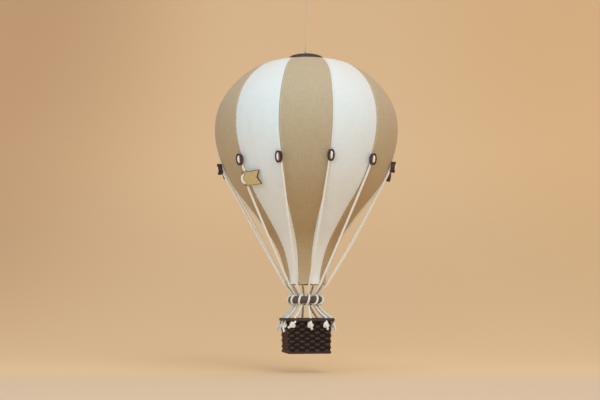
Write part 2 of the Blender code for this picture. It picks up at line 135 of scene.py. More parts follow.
# Turn of each seam from its even place in degrees, at depths in mm: handmade, and turned a little at the neck
DRIFT_DEPTHS = (0, 33, 45, 62, 92, 112, 134, 150, 174, 193, 212, 233, 258)
SEAM_DRIFT = {
    1: (2.6, 2.6, 1.6, 0.3, -0.1, -0.3, -0.4, -0.6, -0.9, -2.0, -3.3, -4.0, -4.5),
    2: (2.6, 2.4, 2.0, 0.3, 0.4, 0.5, 0.4, 0.4, 0.2, -0.5, -1.5, -3.0, -4.5),
    3: (2.0, 2.0, 3.0, 4.4, 5.4, 5.2, 4.4, 3.2, 1.6, -1.0, -2.5, -4.0, -5.0),
    4: (1.0, 1.0, 1.4, 2.2, 2.8, 2.4, 0.8, 0.2, -0.5, -1.5, -3.0, -4.5, -6.0),
    9: (-1.0, -1.0, -1.4, -2.2, -3.0, -2.6, -0.8, -0.6, -1.0, -2.0, -4.0, -6.0, -8.0),
    10: (-1.0, -1.2, -2.6, -4.8, -6.0, -5.8, -4.4, -2.6, -2.4, -3.0, -5.0, -7.5, -9.5),
    11: (-0.7, -1.0, -1.7, -0.9, -1.1, -1.5, -1.2, -2.0, -5.0, -6.0, -6.1, -8.0, -11.0),
    12: (-1.7, -1.5, -0.9, -0.6, -1.1, -1.3, -1.0, -1.5, -3.2, -3.1, -2.8, -5.0, -9.5),
}
OTHER_DRIFT = (0.0, 0.0, 0.0, 0.0, 0.0, 0.0, 0.0, 0.0, -1.0, -2.0, -3.5, -5.0, -7.0)
# Depths in mm over which the drift is averaged, so that a seam turns softly
DRIFT_SPREAD = range(-10, 11, 2)

# Cloth
CLOTH = 1.6 * MM
CLOTH_ROWS = 190
# Places of the columns of points from a seam to the middle of its gore, as shares, closest beside the seam
HALF_COLUMNS = (
    0.0, 0.012, 0.03, 0.052, 0.08, 0.115, 0.155, 0.2, 0.25, 0.31, 0.39, 0.49, 0.61, 0.74, 0.87, 1.0,
)
SEAM_SPLIT = 0.04 * MM
SEAM_SINK = 0.4 * MM
SEAM_ALLOWANCE = 6.0 * MM
HEM_FOLD = 5.0 * MM
PUCKER = 6.4 * MM
FOLD = 14 * MM
FINE_FOLD = 6.3 * MM
# Linen: width of a thread and length of the colours in cm, and the colours from crown (0) to hem (1). These
# colours are partly the cloth's own and partly painted shade and light: lighter at the crown and at the hem,
# darker below the middle, and the white's middle painted cooler against warm light from below.
LINEN_THREAD = 0.062
LINEN_LENGTH = 33.5
TAN_LINEN_PAINTED_SHADE = (
    (0.0, (217, 190, 150)), (0.15, (206, 181, 147)), (0.35, (198, 179, 151)), (0.55, (187, 167, 135)),
    (0.8, (175, 147, 107)), (1.0, (202, 180, 146)),
)
WHITE_LINEN_PAINTED_SHADE = (
    (0.0, (252, 243, 235)), (0.15, (246, 240, 234)), (0.4, (234, 240, 244)), (0.8, (230, 230, 229)),
    (1.0, (244, 243, 239)),
)

# Stitches: place along a stitch, its lift and its thickness, each as a share
STITCH_FORM = ((0.0, -0.6, 0.7), (0.16, 0.35, 1.0), (0.5, 1.0, 1.0), (0.84, 0.35, 1.0), (1.0, -0.6, 0.7))
STITCH_SIDES = 5
STITCH = 2.3 * MM
STITCH_GAP = 0.9 * MM
STITCH_START = 17 * MM
STITCH_END = 7 * MM
STITCH_INSET = 1.45 * MM
STITCH_SINK = 0.22 * MM
SEAM_STITCH_R = 0.12 * MM
SEAM_STITCH_RISE = 0.07 * MM
HEM_STITCH_R = 0.16 * MM
HEM_STITCH_UP = 3.6 * MM
HEM_STITCH_SPAN = (0.15, 0.85)

# Cap and the knot on it
CAP_BORE = 0.6 * MM
CAP_EDGE = 0.9 * MM
CAP_CURVE = 1.9
CAP_SIDES = 120
CAP_STITCHES = 44
CAP_STITCH_HALF = 2.9
CAP_STITCH_AT = 17.2 * MM
CAP_STITCH_R = 0.2 * MM
CAP_GROOVE = 0.18 * MM
CROWN_TURNS = 8.5
CROWN_TURN_R = 1.15 * MM
CROWN_NARROWING = 0.9 * MM
CROWN_STRAND_R = 0.38 * MM

# Thread: its lay, its knot, its tail as x, y and z in mm from the knot, and its foot in the crown knot
THREAD_STEP = 0.3 * MM
THREAD_LAY = 1.8 * MM
THREAD_KNOT_Z = -2 * LOOP_R - 0.4 * MM
THREAD_LOBE = 0.85 * MM
THREAD_STRAND = 0.42 * MM
THREAD_TAIL = ((0.3, 0.5, -1.0), (1.6, 0.5, -3.4), (1.9, 0.3, -6.4))
THREAD_FOOT = 2.6 * MM

# Rope
ROPE_SIDES = 12
ROPE_STRANDS = 3
ROPE_STEP = 0.6 * MM
ROPE_LAY = 8.5 * MM
# Turn of a cord round the ring: how far it presses in, its points, and its sideways shift in mm on the way
WRAP_PRESS = 0.25 * MM
WRAP_POINTS = 45
WRAP_SHIFT = ((0.0, -0.5), (0.31, -1.6), (0.71, 1.6), (1.0, 1.0))
# Places outward and up in mm from a toggle's centre that a cord takes through the toggle
BIGHT = (
    (-3.0, 3.6), (-1.6, 3.7), (0.2, 3.5), (1.4, 2.6), (2.0, 1.0), (2.0, -0.9), (1.4, -2.5), (0.0, -3.3),
    (-2.3, -3.6), (-3.6, -4.6), (-3.9, -6.6),
)
# Way of cord 11 from the tag's top to its middle: up, out and across in mm, and its thickness share
TAG_PASS = (
    (8.6, -2.1, 0.0, 1.0), (6.9, -2.2, 0.0, 1.0), (5.9, -1.3, -0.1, 0.8), (4.9, 0.0, -0.3, 0.72),
    (4.1, 1.3, -0.7, 0.85), (2.5, 2.0, -1.8, 1.0), (0.0, 2.1, -2.3, 1.05),
)
# Way of a cord through the rim, outward from the rim's middle and down from its top in mm
RIM_PASS = ((0.1, 1.2), (0.9, 2.6), (1.5, 3.9))
RIM_PASS_IN = 0.5 * MM
CORD_SLACK = 1.1 * MM
# How far a cord above the hem bows out along +X in mm, by cord
CORD_BOW = {3: 1.4, 4: 2.4, 9: 0.4, 10: -0.6}
# Turn in degrees of the place where a cord passes the hem, by cord
HEM_SHIFT = {12: -6.0, 1: -2.5, 2: -1.0, 11: -2.0, 10: -1.0}
# Azimuth shift in degrees, rise in mm and turn in degrees of a toggle on its seam, by toggle
TOGGLE_SET = {
    12: (-1.9, -0.5, -20.0), 1: (-0.6, 0.9, 6.0), 2: (-0.3, 1.1, -14.0), 11: (-0.5, 1.1, 12.0),
    10: (-2.0, -1.2, 4.0), 3: (2.0, 1.1, 0.0), 4: (-1.6, -1.7, 0.0), 5: (0.5, 0.4, -8.0), 7: (-0.4, 0.3, 6.0),
    9: (-2.0, 2.2, 0.0),
}
# How far a toggle would stand off the cloth if it were turned by 90 degrees
TOGGLE_LIFT = 1.2 * MM
# Overhand knots of the cords: lobe and strand sizes, thickness share, largest turn, and place off the wall
KNOT_LOBE = 1.7 * MM
KNOT_STRAND = 0.95 * MM
KNOT_SHARE = 0.78
KNOT_SPIN = 0.6
KNOT_OUT = 2.3 * MM
# Shift of a knot along its face in mm, from where its cord comes through the rim
KNOT_SHIFT = {12: -3.2, 1: -0.8, 2: -0.4, 3: 0.0, 10: 0.8, 8: -0.6}
# Lean of a knot's tail to its right in degrees, its length and how far its end stands out in mm, by cord
KNOT_TAILS = {
    12: (-58, 5.2, 0.6), 1: (20, 4.6, 0.8), 2: (18, 4.8, 0.8), 3: (8, 6.4, 2.0), 4: (-10, 5.6, 1.0),
    5: (15, 5.4, 1.4), 6: (-20, 5.6, 0.8), 7: (25, 5.2, 0.8), 8: (5, 5.8, 1.0), 9: (20, 6.4, 3.0),
    10: (-14, 7.4, 1.6), 11: (10, 7.2, 1.2),
}

# Winding of the ring
RING_TURNS = 118
RING_INSET = 0.34 * MM
RING_RIDGE = 0.30 * MM
RING_UNEVEN = 0.05 * MM

# Basket
STAKES = 32
ROWS = 10
ROW_H = 3.07 * MM
WEAVE = 0.9 * MM
WEAVE_TOP = RIM_TOP + RIM_H + 0.4 * MM
WEAVE_STEPS = 10
WALL_CORNER_R = 2.0 * MM
STRIP_T = 0.95 * MM
STRIP_HALF = 0.455 * ROW_H
# Sections of a woven strip and of a stake, as shares of their half width and thickness
STRIP = np.array([
    (-1.0, -0.35), (-0.98, 0.2), (-0.8, 0.42), (-0.3, 0.5), (0.3, 0.5), (0.8, 0.42), (0.98, 0.2),
    (1.0, -0.35), (0.85, -0.5), (-0.85, -0.5),
])
STAKE = np.array([
    (-1.0, 0.0), (-0.85, 0.4), (0.0, 0.5), (0.85, 0.4), (1.0, 0.0), (0.85, -0.4), (0.0, -0.5), (-0.85, -0.4),
])
STAKE_T = 0.7 * MM
STAKE_HALF = 2.25 * MM
STAKE_BOW = 0.22 * MM
FLOOR_HALF = 21.3 * MM
FLOOR_LEVEL = BASKET_BOTTOM - 1.25 * MM
FLOOR_STAKES = 8
FLOOR_BOW = 0.42 * MM
BORDER_LEVEL = BASKET_BOTTOM - 1.75 * MM
BORDER_CORNER_R = 2.2 * MM
BORDER_TWISTS = 34
BORDER_REACH = 0.62 * MM
BORDER_R = 0.95 * MM
RIM_WRAPS = 62
RIM_SLANT = 0.7

# Stage
FLOOR_Z = CROWN_Z - BASKET_BOTTOM - 20.0 * MM
STAGE_SIDES = 128
STAGE_FLAT = 0.42
STAGE_CURVE = 2.6
STAGE_FLOOR = (200, 177, 152)
STAGE_FRONT = (210, 200, 188)
# The left wall colour and the foot share paint shade: the wall darker towards the left and towards the floor.
STAGE_WALL_LEFT_PAINTED_SHADE = (201, 167, 131)
STAGE_WALL_MIDDLE = (227, 197, 158)
STAGE_WALL_RIGHT = (225, 191, 147)
STAGE_WALL_FOOT_PAINTED_SHADE = 0.84
STAGE_GLOW = 0.46
# Where one colour of the stage passes into the next: from and to, along X, along Y or above the floor
LEFT_SHADE_CHANGE = (-1.15, -0.25)
RIGHT_CHANGE = (0.25, 1.0)
FRONT_CHANGE = (-0.3, -0.9)
WALL_CHANGE = (-0.14, 0.05)
WALL_RISE = 0.07
FOOT_SHADE_RISE = 0.7

# Lights: name, place, size, energy and colour
WORLD_LIGHT = 0.2
WORLD_COLOUR = (0.92, 0.97, 1.0, 1.0)
LIGHT_TARGET = (0, 0, -0.22)
LIGHT_SPREAD = 150
LIGHTS = (
    ("key_softbox", (0.68, -1.3, 1.0), 1.3, 7.9, (0.84, 0.95, 1.0)),
    ("top_softbox", (0.15, -0.3, 1.2), 1.3, 3.4, (1.0, 0.91, 0.85)),
    ("left_softbox", (-1.2, -0.9, 0.3), 0.8, 2.0, (0.62, 0.9, 1.0)),
    ("low_softbox", (-0.28, -1.1, -0.06), 0.4, 1.45, (0.32, 0.74, 0.98)),
)

# Angle between faces above which an edge stays sharp, and a direction that no path starts along
SHARP_ANGLE = 55
ASIDE = (0.31, 0.52, 0.79)


def level(depth):
    """Height of a depth below the crown."""
    return CROWN_Z - depth


def outward(azimuth):
    """Unit vector out from the axis at an azimuth."""
    a = math.radians(azimuth)
    return np.array((math.sin(a), -math.cos(a), 0.0))


def sideways(azimuth):
    """Unit vector along the circle at an azimuth, towards larger azimuths."""
    a = math.radians(azimuth)
    return np.array((math.cos(a), math.sin(a), 0.0))


def seam_azimuth(number):
    """Azimuth of the seam that carries cord 1 to 12."""
    return GORE_STEP * (number - 0.5)


def seam_line(number, heights):
    """Azimuths of the sewn seam by its cord's number, at an array of heights."""
    depths = (CROWN_Z - heights) / MM
    drift = SEAM_DRIFT.get(number, OTHER_DRIFT)
    spread = [np.interp(depths + shift, DRIFT_DEPTHS, drift) for shift in DRIFT_SPREAD]
    return seam_azimuth(number) + np.mean(spread, axis=0)


def unit(v):
    """Vector of length 1 along v."""
    return v / np.linalg.norm(v)


def bell(x, width):
    """Smooth bump of height 1 round 0."""
    return np.exp(-(x / width) ** 2)


def step_up(x, width):
    """Smooth step from 0 to 1 at 0."""
    return 0.5 + 0.5 * np.tanh(x / width)


def rounded(x, power):
    """Sine or cosine x drawn out towards a square wave, with its sign kept."""
    return np.sign(x) * np.abs(x) ** power


def uneven(seed, count, at):
    """Handmade unevenness from -1 to 1 at places counted in turns, of which there are count in all."""
    values = np.random.default_rng(seed).uniform(-1, 1, count)
    return np.interp(at % count, np.arange(count + 1), np.append(values, 0))


# Curves

def lengths(path):
    """Length along a path at each of its points."""
    return np.concatenate([[0.0], np.cumsum(np.linalg.norm(np.diff(path, axis=0), axis=1))])


def even(rows, spacing):
    """Rows of x, y, z and further values, sampled again at an even spacing."""
    s = lengths(rows[:, :3])
    count = max(2, int(round(s[-1] / spacing)))
    at = np.linspace(0.0, s[-1], count + 1)
    return np.column_stack([np.interp(at, s, rows[:, k]) for k in range(rows.shape[1])])


def between(a, b, start, end, t):
    """Points at times t on the straight way from a at the time start to b at the time end."""
    return ((end - t) * a + (t - start) * b) / (end - start)


def curve_through(points, spacing, per_span=14):
    """Smooth curve through rows of x, y, z and further values, which doesn't overshoot at sharp bends."""
    p = np.array(points, float)
    p = np.vstack([2 * p[0] - p[1], p, 2 * p[-1] - p[-2]])
    steps = np.linalg.norm(np.diff(p[:, :3], axis=0), axis=1) ** 0.5
    knots = np.concatenate([[0.0], np.cumsum(steps)])
    spans = []
    for i in range(len(p) - 3):
        time = knots[i:i + 4]
        t = np.linspace(time[1], time[2], per_span, endpoint=False)[:, None]
        a = [between(p[i + k], p[i + k + 1], time[k], time[k + 1], t) for k in range(3)]
        b = [between(a[k], a[k + 1], time[k], time[k + 2], t) for k in range(2)]
        spans.append(between(*b, time[1], time[2], t))
    return even(np.vstack(spans + [p[-2:-1]]), spacing)


def overhand(lobe, strand, gap, count):
    """Points of an overhand knot, flat in x and y, with a gap in radians where its two ends come out."""
    start = math.pi / 3 + gap
    for k in range(count):
        t = start + (math.tau - 2 * gap) * k / (count - 1)
        r = lobe + strand * math.cos(3 * t)
        yield r * math.cos(2 * t), r * math.sin(2 * t), -strand * math.sin(3 * t)


def frames(path):
    """Two cross directions at each point of a path, without twist."""
    steps = np.diff(path, axis=0)
    steps /= np.linalg.norm(steps, axis=1)[:, None]
    tangents = np.vstack([steps[:1], steps[:-1] + steps[1:], steps[-1:]])
    tangents /= np.linalg.norm(tangents, axis=1)[:, None]
    side = unit(np.cross(tangents[0], ASIDE))
    sides = []
    for tangent in tangents:
        side = unit(side - tangent * side.dot(tangent))
        sides.append(side)
    sides = np.array(sides)
    return sides, np.cross(tangents, sides)


# Meshes

def lofted(path, normals, out, rise):
    """Grid of points: each point of a path, moved along its normal and up by the rows of out and rise."""
    return path[:, None] + normals[:, None] * out[..., None] + UP * rise[..., None]


def flow_of(across, along):
    """Texture places of a grid, from two arrays that spread over it."""
    return np.stack(np.broadcast_arrays(across, along), axis=-1)


class Shape:
    """Points, faces and texture places of one piece, gathered from grids."""

    def __init__(self):
        self.points, self.flows, self.faces, self.count = [], [], [], 0

    def grid(self, points, flow=None, wrap_rows=False):
        """Adds a grid of points as quads. Each row is a loop, and the first and last are closed or joined."""
        rows, columns = points.shape[:2]
        index = np.arange(rows * columns).reshape(rows, columns) + self.count
        ends = [] if wrap_rows else [index[0, ::-1].tolist(), index[-1].tolist()]
        if wrap_rows:
            index = np.vstack([index, index[:1]])
        self.quads(np.hstack([index, index[:, :1]]))
        self.faces += ends
        if flow is None:
            flow = np.zeros((rows, columns, 2))
        self.points.append(points.reshape(-1, 3))
        self.flows.append(flow.reshape(-1, 2))
        self.count += rows * columns

    def quads(self, index):
        """Adds the quads of a grid of point numbers."""
        corners = [index[:-1, :-1], index[:-1, 1:], index[1:, 1:], index[1:, :-1]]
        self.faces += np.stack(corners, axis=-1).reshape(-1, 4).tolist()

    def tube(self, path, radii, flow_start=0.0, closed=False):
        """Adds a tube along a path. radii has a row of radii for each point, one for each side."""
        side, other = frames(path)
        angles = np.linspace(0, math.tau, radii.shape[1], endpoint=False)
        ring = side[:, None] * np.cos(angles)[None, :, None] + other[:, None] * np.sin(angles)[None, :, None]
        flow = flow_of(angles / math.tau + flow_start, lengths(path)[:, None] / CM)
        self.grid(path[:, None] + ring * radii[..., None], flow, wrap_rows=closed)


def link(name, data):
    """Puts an object that shows the data in the scene."""
    made = bpy.data.objects.new(name, data)
    bpy.context.collection.objects.link(made)
    return made


def add_piece(name, shape, mat, body=None, nodes=()):
    """Makes a piece from a Shape, with outward faces and its texture places."""
    mesh = bpy.data.meshes.new(name)
    mesh.from_pydata(np.vstack(shape.points).tolist(), [], shape.faces)
    bm = bmesh.new()
    bm.from_mesh(mesh)
    bmesh.ops.recalc_face_normals(bm, faces=bm.faces)
    bm.to_mesh(mesh)
    bm.free()
    flow = np.vstack(shape.flows)
    corners = np.zeros(len(mesh.loops), int)
    mesh.loops.foreach_get("vertex_index", corners)
    layer = mesh.uv_layers.new(name="flow")
    layer.data.foreach_set("uv", flow[corners].astype(np.float32).ravel())
    return place_piece(name, mesh, mat, body, nodes)


def place_piece(name, mesh, mat, body=None, nodes=()):
    """Puts a mesh in the scene. It stands for the CAD nodes given and rides on the body given."""
    mesh.shade_smooth()
    mesh.set_sharp_from_angle(angle=math.radians(SHARP_ANGLE))
    mesh.materials.append(mat)
    piece = link(name, mesh)
    if nodes:
        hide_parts(*nodes)
    if body:
        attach(piece, body)
    return piece


# Materials

def srgb(*colour):
    """Linear colour of an sRGB colour given in 0 to 255."""
    shares = [value / 255.0 for value in colour]
    return (*(v / 12.92 if v <= 0.04045 else ((v + 0.055) / 1.055) ** 2.4 for v in shares), 1.0)


class Surface:
    """A material with its node tree, and short calls to build it."""

    def __init__(self, name, roughness, **constants):
        self.material = bpy.data.materials.new(name)
        self.material.use_nodes = True
        self.tree = self.material.node_tree
        self.shader = self.tree.nodes["Principled BSDF"]
        self.shader.inputs["Roughness"].default_value = roughness
        for key, value in constants.items():
            self.shader.inputs[key.replace("_", " ")].default_value = value

    def node(self, kind, inputs=(), **settings):
        """Adds a node with its inputs, each a constant or another node's output."""
        made = self.tree.nodes.new(kind)
        for key, value in settings.items():
            setattr(made, key, value)
        for key, value in dict(inputs).items():
            self.put(made.inputs[key], value)
        return made

    def put(self, socket, value):
        """Sets a socket to a constant or links an output to it."""
        if isinstance(value, bpy.types.NodeSocket):
            self.tree.links.new(value, socket)
        else:
            socket.default_value = value

    def math(self, operation, a, b=0.0):
        """Result of a calculation on one or two values."""
        return self.node("ShaderNodeMath", {0: a, 1: b}, operation=operation).outputs[0]

    def times(self, a, b, plus=None):
        """a times b, plus a third value where one is given."""
        if plus is None:
            return self.math("MULTIPLY", a, b)
        return self.node("ShaderNodeMath", {0: a, 1: b, 2: plus}, operation="MULTIPLY_ADD").outputs[0]

    def along(self, vector, direction):
        """Share of a vector along a direction."""
        made = self.node("ShaderNodeVectorMath", {0: vector, 1: tuple(direction)}, operation="DOT_PRODUCT")
        return made.outputs["Value"]

    def change(self, value, start, end, low=0.0, high=1.0, kind="SMOOTHSTEP"):
        """A value between start and end as one between low and high, held beyond them."""
        inputs = {0: value, 1: start, 2: end, 3: low, 4: high}
        return self.node("ShaderNodeMapRange", inputs, interpolation_type=kind).outputs[0]

    def flow(self):
        """Texture places of the piece, as an output across it and one along it."""
        uv = self.node("ShaderNodeUVMap", uv_map="flow").outputs[0]
        both = self.node("ShaderNodeSeparateXYZ", {0: uv})
        return both.outputs[0], both.outputs[1]

    def place(self):
        """Place in the piece's own space."""
        return self.node("ShaderNodeTexCoord").outputs["Object"]

    def joined(self, x, y):
        """Vector from two values."""
        return self.node("ShaderNodeCombineXYZ", {0: x, 1: y}).outputs[0]

    def noise(self, vector, scale, detail=2.0, roughness=0.5):
        """Soft noise from 0 to 1."""
        inputs = {"Vector": vector, "Scale": scale, "Detail": detail, "Roughness": roughness}
        return self.node("ShaderNodeTexNoise", inputs).outputs[0]

    def streaks(self, x, y, x_scale, y_scale, detail=2.0, roughness=0.5):
        """Noise with a scale of its own along each of two directions."""
        place = self.joined(self.times(x, x_scale), self.times(y, y_scale))
        return self.noise(place, 1.0, detail, roughness)

    def ramp(self, value, *stops):
        """Colour ramp given as pairs of a place and an sRGB colour."""
        made = self.node("ShaderNodeValToRGB", {0: value})
        elements = made.color_ramp.elements
        while len(elements) < len(stops):
            elements.new(0.5)
        for element, (at, colour) in zip(elements, stops):
            element.position = at
            element.color = srgb(*colour)
        return made.outputs[0]

    def mix(self, factor, a, b, blend="MIX"):
        """Mix of two colours."""
        made = self.node("ShaderNodeMix", data_type="RGBA", blend_type=blend)
        self.put(made.inputs[0], factor)
        self.put(made.inputs[6], a)
        self.put(made.inputs[7], b)
        return made.outputs[2]

    def finish(self, colour, height=None, distance=0.1 * MM, strength=0.6):
        """Sets the colour and the relief."""
        self.put(self.shader.inputs["Base Color"], colour)
        if height is not None:
            bump = self.node("ShaderNodeBump", {"Height": height, "Distance": distance, "Strength": strength})
            self.put(self.shader.inputs["Normal"], bump.outputs[0])
        return self.material


def linen(name, stops, slub_contrast):
    """Plain woven cloth with uneven threads. stops colour it from the crown to the hem, with painted shade
    and light in them.
    """
    cloth = Surface(name, 0.9, Sheen_Weight=0.15, Sheen_Roughness=0.5, Specular_IOR_Level=0.25)
    across, along = cloth.flow()
    wander = cloth.noise(cloth.joined(across, along), 1.6, 2.0)
    turns = math.pi / LINEN_THREAD
    warp = cloth.math("COSINE", cloth.times(across, turns, cloth.times(wander, 5.0)))
    weft = cloth.math("COSINE", cloth.times(along, turns, cloth.times(wander, 4.0)))
    over = cloth.times(cloth.times(warp, weft), 0.5, 0.5)
    under = cloth.math("SUBTRACT", 1.0, over)
    warp = cloth.times(cloth.math("ABSOLUTE", warp), over)
    weft = cloth.times(cloth.math("ABSOLUTE", weft), under)
    weave = cloth.math("ADD", warp, weft)
    slub = cloth.math("ADD", cloth.streaks(across, along, 14.0, 0.9), cloth.streaks(across, along, 0.9, 14.0))
    # Colour along the gore, with painted shade: lighter at the crown and at the hem, darker below the middle.
    base = cloth.ramp(cloth.times(along, 1 / LINEN_LENGTH), *stops)
    shade = cloth.times(weave, 0.14, 0.93 - slub_contrast)
    shade = cloth.times(slub, slub_contrast, shade)
    grey = cloth.node("ShaderNodeCombineColor", {0: shade, 1: shade, 2: shade}).outputs[0]
    colour = cloth.mix(1.0, base, grey, "MULTIPLY")
    return cloth.finish(colour, cloth.times(slub, 0.35, weave), 0.09 * MM, 0.5)


def cotton(name, light, dark, scale=1.0):
    """Soft twisted yarn with fine fibres."""
    yarn = Surface(name, 0.85, Sheen_Weight=0.25, Sheen_Roughness=0.45, Specular_IOR_Level=0.2)
    place = yarn.place()
    fibre = yarn.noise(place, 2600.0 / scale, 3.0, 0.65)
    blotch = yarn.noise(place, 140.0)
    tone = yarn.times(fibre, 0.6, yarn.times(blotch, 0.4))
    return yarn.finish(yarn.ramp(tone, (0.3, dark), (0.62, light)), fibre, 0.12 * MM * scale, 0.5)


def leather(name, dark, light, roughness):
    """Dyed leather with a fine grain, rubbed lighter in places."""
    hide = Surface(name, roughness, Specular_IOR_Level=0.5)
    place = hide.place()
    cells = hide.node("ShaderNodeTexVoronoi", {"Vector": place, "Scale": 1500.0}, feature="DISTANCE_TO_EDGE")
    grain = hide.math("MINIMUM", hide.times(cells.outputs[0], 5.0), 1.0)
    rub = hide.noise(place, 320.0, 4.0, 0.6)
    hide.put(hide.shader.inputs["Roughness"], hide.times(rub, 0.35, roughness - 0.15))
    colour = hide.ramp(rub, (0.35, dark), (0.72, light))
    return hide.finish(colour, hide.times(rub, 0.4, grain), 0.10 * MM, 0.5)


def wood_strip(name, dark, light, roughness):
    """Split and stained wood, its grain along the strip."""
    strip = Surface(name, roughness, Specular_IOR_Level=0.45)
    across, along = strip.flow()
    grain = strip.streaks(across, along, 26.0, 1.6, 4.0, 0.6)
    patch = strip.noise(strip.joined(across, along), 2.2, 3.0)
    tone = strip.times(grain, 0.65, strip.times(patch, 0.35))
    return strip.finish(strip.ramp(tone, (0.36, dark), (0.66, light)), grain, 0.16 * MM, 0.6)


def plywood(name):
    """Thin ply with fine grain and burnt edges, placed by the tag's own outline."""
    centre, across, up, normal = tag_frame()
    ply = Surface(name, 0.55, Specular_IOR_Level=0.35)
    place = ply.place()

    def distance(direction, offset):
        """Distance inside an edge, given its inward direction and its offset from the centre."""
        return ply.math("ADD", ply.along(place, direction), offset - float(np.dot(direction, centre)))

    slant = unit(np.array((-TAG_H / 2, -TAG_NOTCH)))
    rise = unit(np.array((-TAG_H / 2, TAG_NOTCH)))
    notch_x = TAG_W - TAG_EDGE - TAG_NOTCH
    left = distance(across, TAG_EDGE)
    top = distance(-up, TAG_H / 2)
    bottom = distance(up, TAG_H / 2)
    upper = distance(across * slant[0] - up * slant[1], -slant[0] * notch_x)
    lower = distance(across * rise[0] - up * rise[1], -rise[0] * notch_x)
    edge = ply.math("MINIMUM", ply.math("MINIMUM", left, top),
                    ply.math("MINIMUM", bottom, ply.math("MAXIMUM", upper, lower)))
    facing = ply.math("ABSOLUTE", ply.along(ply.node("ShaderNodeTexCoord").outputs["Normal"], normal))
    grain = ply.streaks(distance(across, 0.0), distance(up, 0.0), 160.0, 2600.0, 4.0, 0.6)
    wood = ply.ramp(grain, (0.3, (182, 156, 104)), (0.55, (214, 188, 132)), (0.8, (230, 208, 156)))
    wobble = ply.times(ply.noise(place, 900.0), 0.5 * MM)
    near = ply.change(ply.math("SUBTRACT", edge, wobble), 0.0, 0.55 * MM, 0.85, 0.0, "LINEAR")
    side = ply.change(facing, 0.5, 0.9, 1.0, 0.0, "LINEAR")
    colour = ply.mix(side, ply.mix(near, wood, srgb(58, 40, 24)), srgb(44, 31, 22))
    return ply.finish(colour, grain, 0.08 * MM, 0.4)


# Routes of the cords

def toggle_frame(number):
    """Centre, outward, up and sideways vectors of a toggle, which match its CAD node."""
    azimuth = seam_azimuth(number)
    lean = math.radians(TOGGLE_LEAN)
    out = outward(azimuth) * math.cos(lean) - UP * math.sin(lean)
    up = outward(azimuth) * math.sin(lean) + UP * math.cos(lean)
    corner_rise = TOGGLE_H / 2 * math.cos(lean) + TOGGLE_DEPTH / 2 * math.sin(lean)
    corner_out = TOGGLE_H / 2 * math.sin(lean) - TOGGLE_DEPTH / 2 * math.cos(lean)
    line = profile_line(400)
    r = np.interp(-(level(TOGGLE_LEVEL) + corner_rise), -line[:, 1], line[:, 0])
    centre = outward(azimuth) * (r + CLEAR - corner_out) + UP * level(TOGGLE_LEVEL)
    return centre, out, up, sideways(azimuth)


def toggle_look(number):
    """The same vectors for the toggle as drawn, a little shifted and turned on its seam."""
    shift, rise, turn = TOGGLE_SET.get(number, (0.0, 0.0, 0.0))
    a, t = math.radians(shift), math.radians(turn)
    spin = np.array(((math.cos(a), -math.sin(a), 0), (math.sin(a), math.cos(a), 0), (0, 0, 1)))
    centre, out, up, side = (spin @ v for v in toggle_frame(number))
    centre = centre + up * rise * MM + out * abs(math.sin(t)) * TOGGLE_LIFT
    return centre, out * math.cos(t) + side * math.sin(t), up, side * math.cos(t) - out * math.sin(t)


def hem_point(number, shift=0.0):
    """Point beside the hem where a cord bends in towards the ring, shifted by an angle."""
    return outward(seam_azimuth(number) + CORD_TWIST + shift) * HEM_PASS_R + UP * level(HEM_PASS_LEVEL)


def tag_frame():
    """Centre, across, up and normal vectors of the tag, which match its CAD node."""
    centre, out, up, _ = toggle_frame(TAG_CORD)
    top = centre + out * BIGHT[-1][0] * MM + up * BIGHT[-1][1] * MM
    foot = hem_point(TAG_CORD)
    up = unit(top - foot)
    centre = top + (foot - top) * ((level(TAG_LEVEL) - top[2]) / (foot[2] - top[2]))
    azimuth = math.degrees(math.atan2(centre[0], -centre[1]))
    turn = math.radians(TAG_TURN)
    across = sideways(azimuth) * math.cos(turn) - outward(azimuth) * math.sin(turn)
    across = unit(across - up * across.dot(up))
    normal = np.cross(across, up)
    centre = centre + normal * TAG_OFFSET - across * TAG_SHIFT
    tilt, roll = math.radians(TAG_TILT), math.radians(TAG_ROLL)
    up, normal = up * math.cos(tilt) - normal * math.sin(tilt), normal * math.cos(tilt) + up * math.sin(tilt)
    across, up = across * math.cos(roll) - up * math.sin(roll), up * math.cos(roll) + across * math.sin(roll)
    return centre, across, up, normal


def knot_face(number):
    """Face azimuth and place along it of a cord's knot on the basket."""
    turn = number % GORES
    return BASKET_YAW + 90.0 * (turn // 3), (turn % 3 - 1) * KNOT_SPACING


def basket_point(number, depth_out, depth):
    """Point at a cord's knot, at a distance from the basket's middle plane and a depth below the crown."""
    azimuth, along = knot_face(number)
    return outward(azimuth) * depth_out + sideways(azimuth) * along + UP * level(depth)


def wall_half(depth):
    """Half width of the basket's outer wall at a depth below the crown."""
    share = (depth - RIM_TOP) / (BASKET_BOTTOM - RIM_TOP)
    return BASKET_TOP_HALF + (BASKET_FLOOR_HALF - BASKET_TOP_HALF) * share


def touch_ring(point, azimuth, reach):
    """Angle round the ring's section to a point, and from there to where its line touches at a reach."""
    r, rise = (point - RING_CENTRE).dot(outward(azimuth)) - RING_MAJOR, point[2] - RING_CENTRE[2]
    return math.degrees(math.atan2(rise, r)), math.degrees(math.acos(reach / math.hypot(r, rise)))


def ring_points(number, hem, foot):
    """Points of a cord's turn round the ring, from the side of the hem to the side of the basket."""
    azimuth = seam_azimuth(number) + CORD_TWIST
    reach = RING_MINOR + CORD_R - WRAP_PRESS
    toward, turn = touch_ring(hem, azimuth, reach)
    start = toward + turn
    toward, turn = touch_ring(foot, azimuth, reach)
    end = toward - turn + 720.0
    for share in (k / (WRAP_POINTS - 1) for k in range(WRAP_POINTS)):
        angle = math.radians(start + (end - start) * share)
        shift = float(np.interp(share, *zip(*WRAP_SHIFT))) * MM
        yield (RING_CENTRE + outward(azimuth) * (RING_MAJOR + reach * math.cos(angle))
               + UP * reach * math.sin(angle) + sideways(azimuth) * shift)


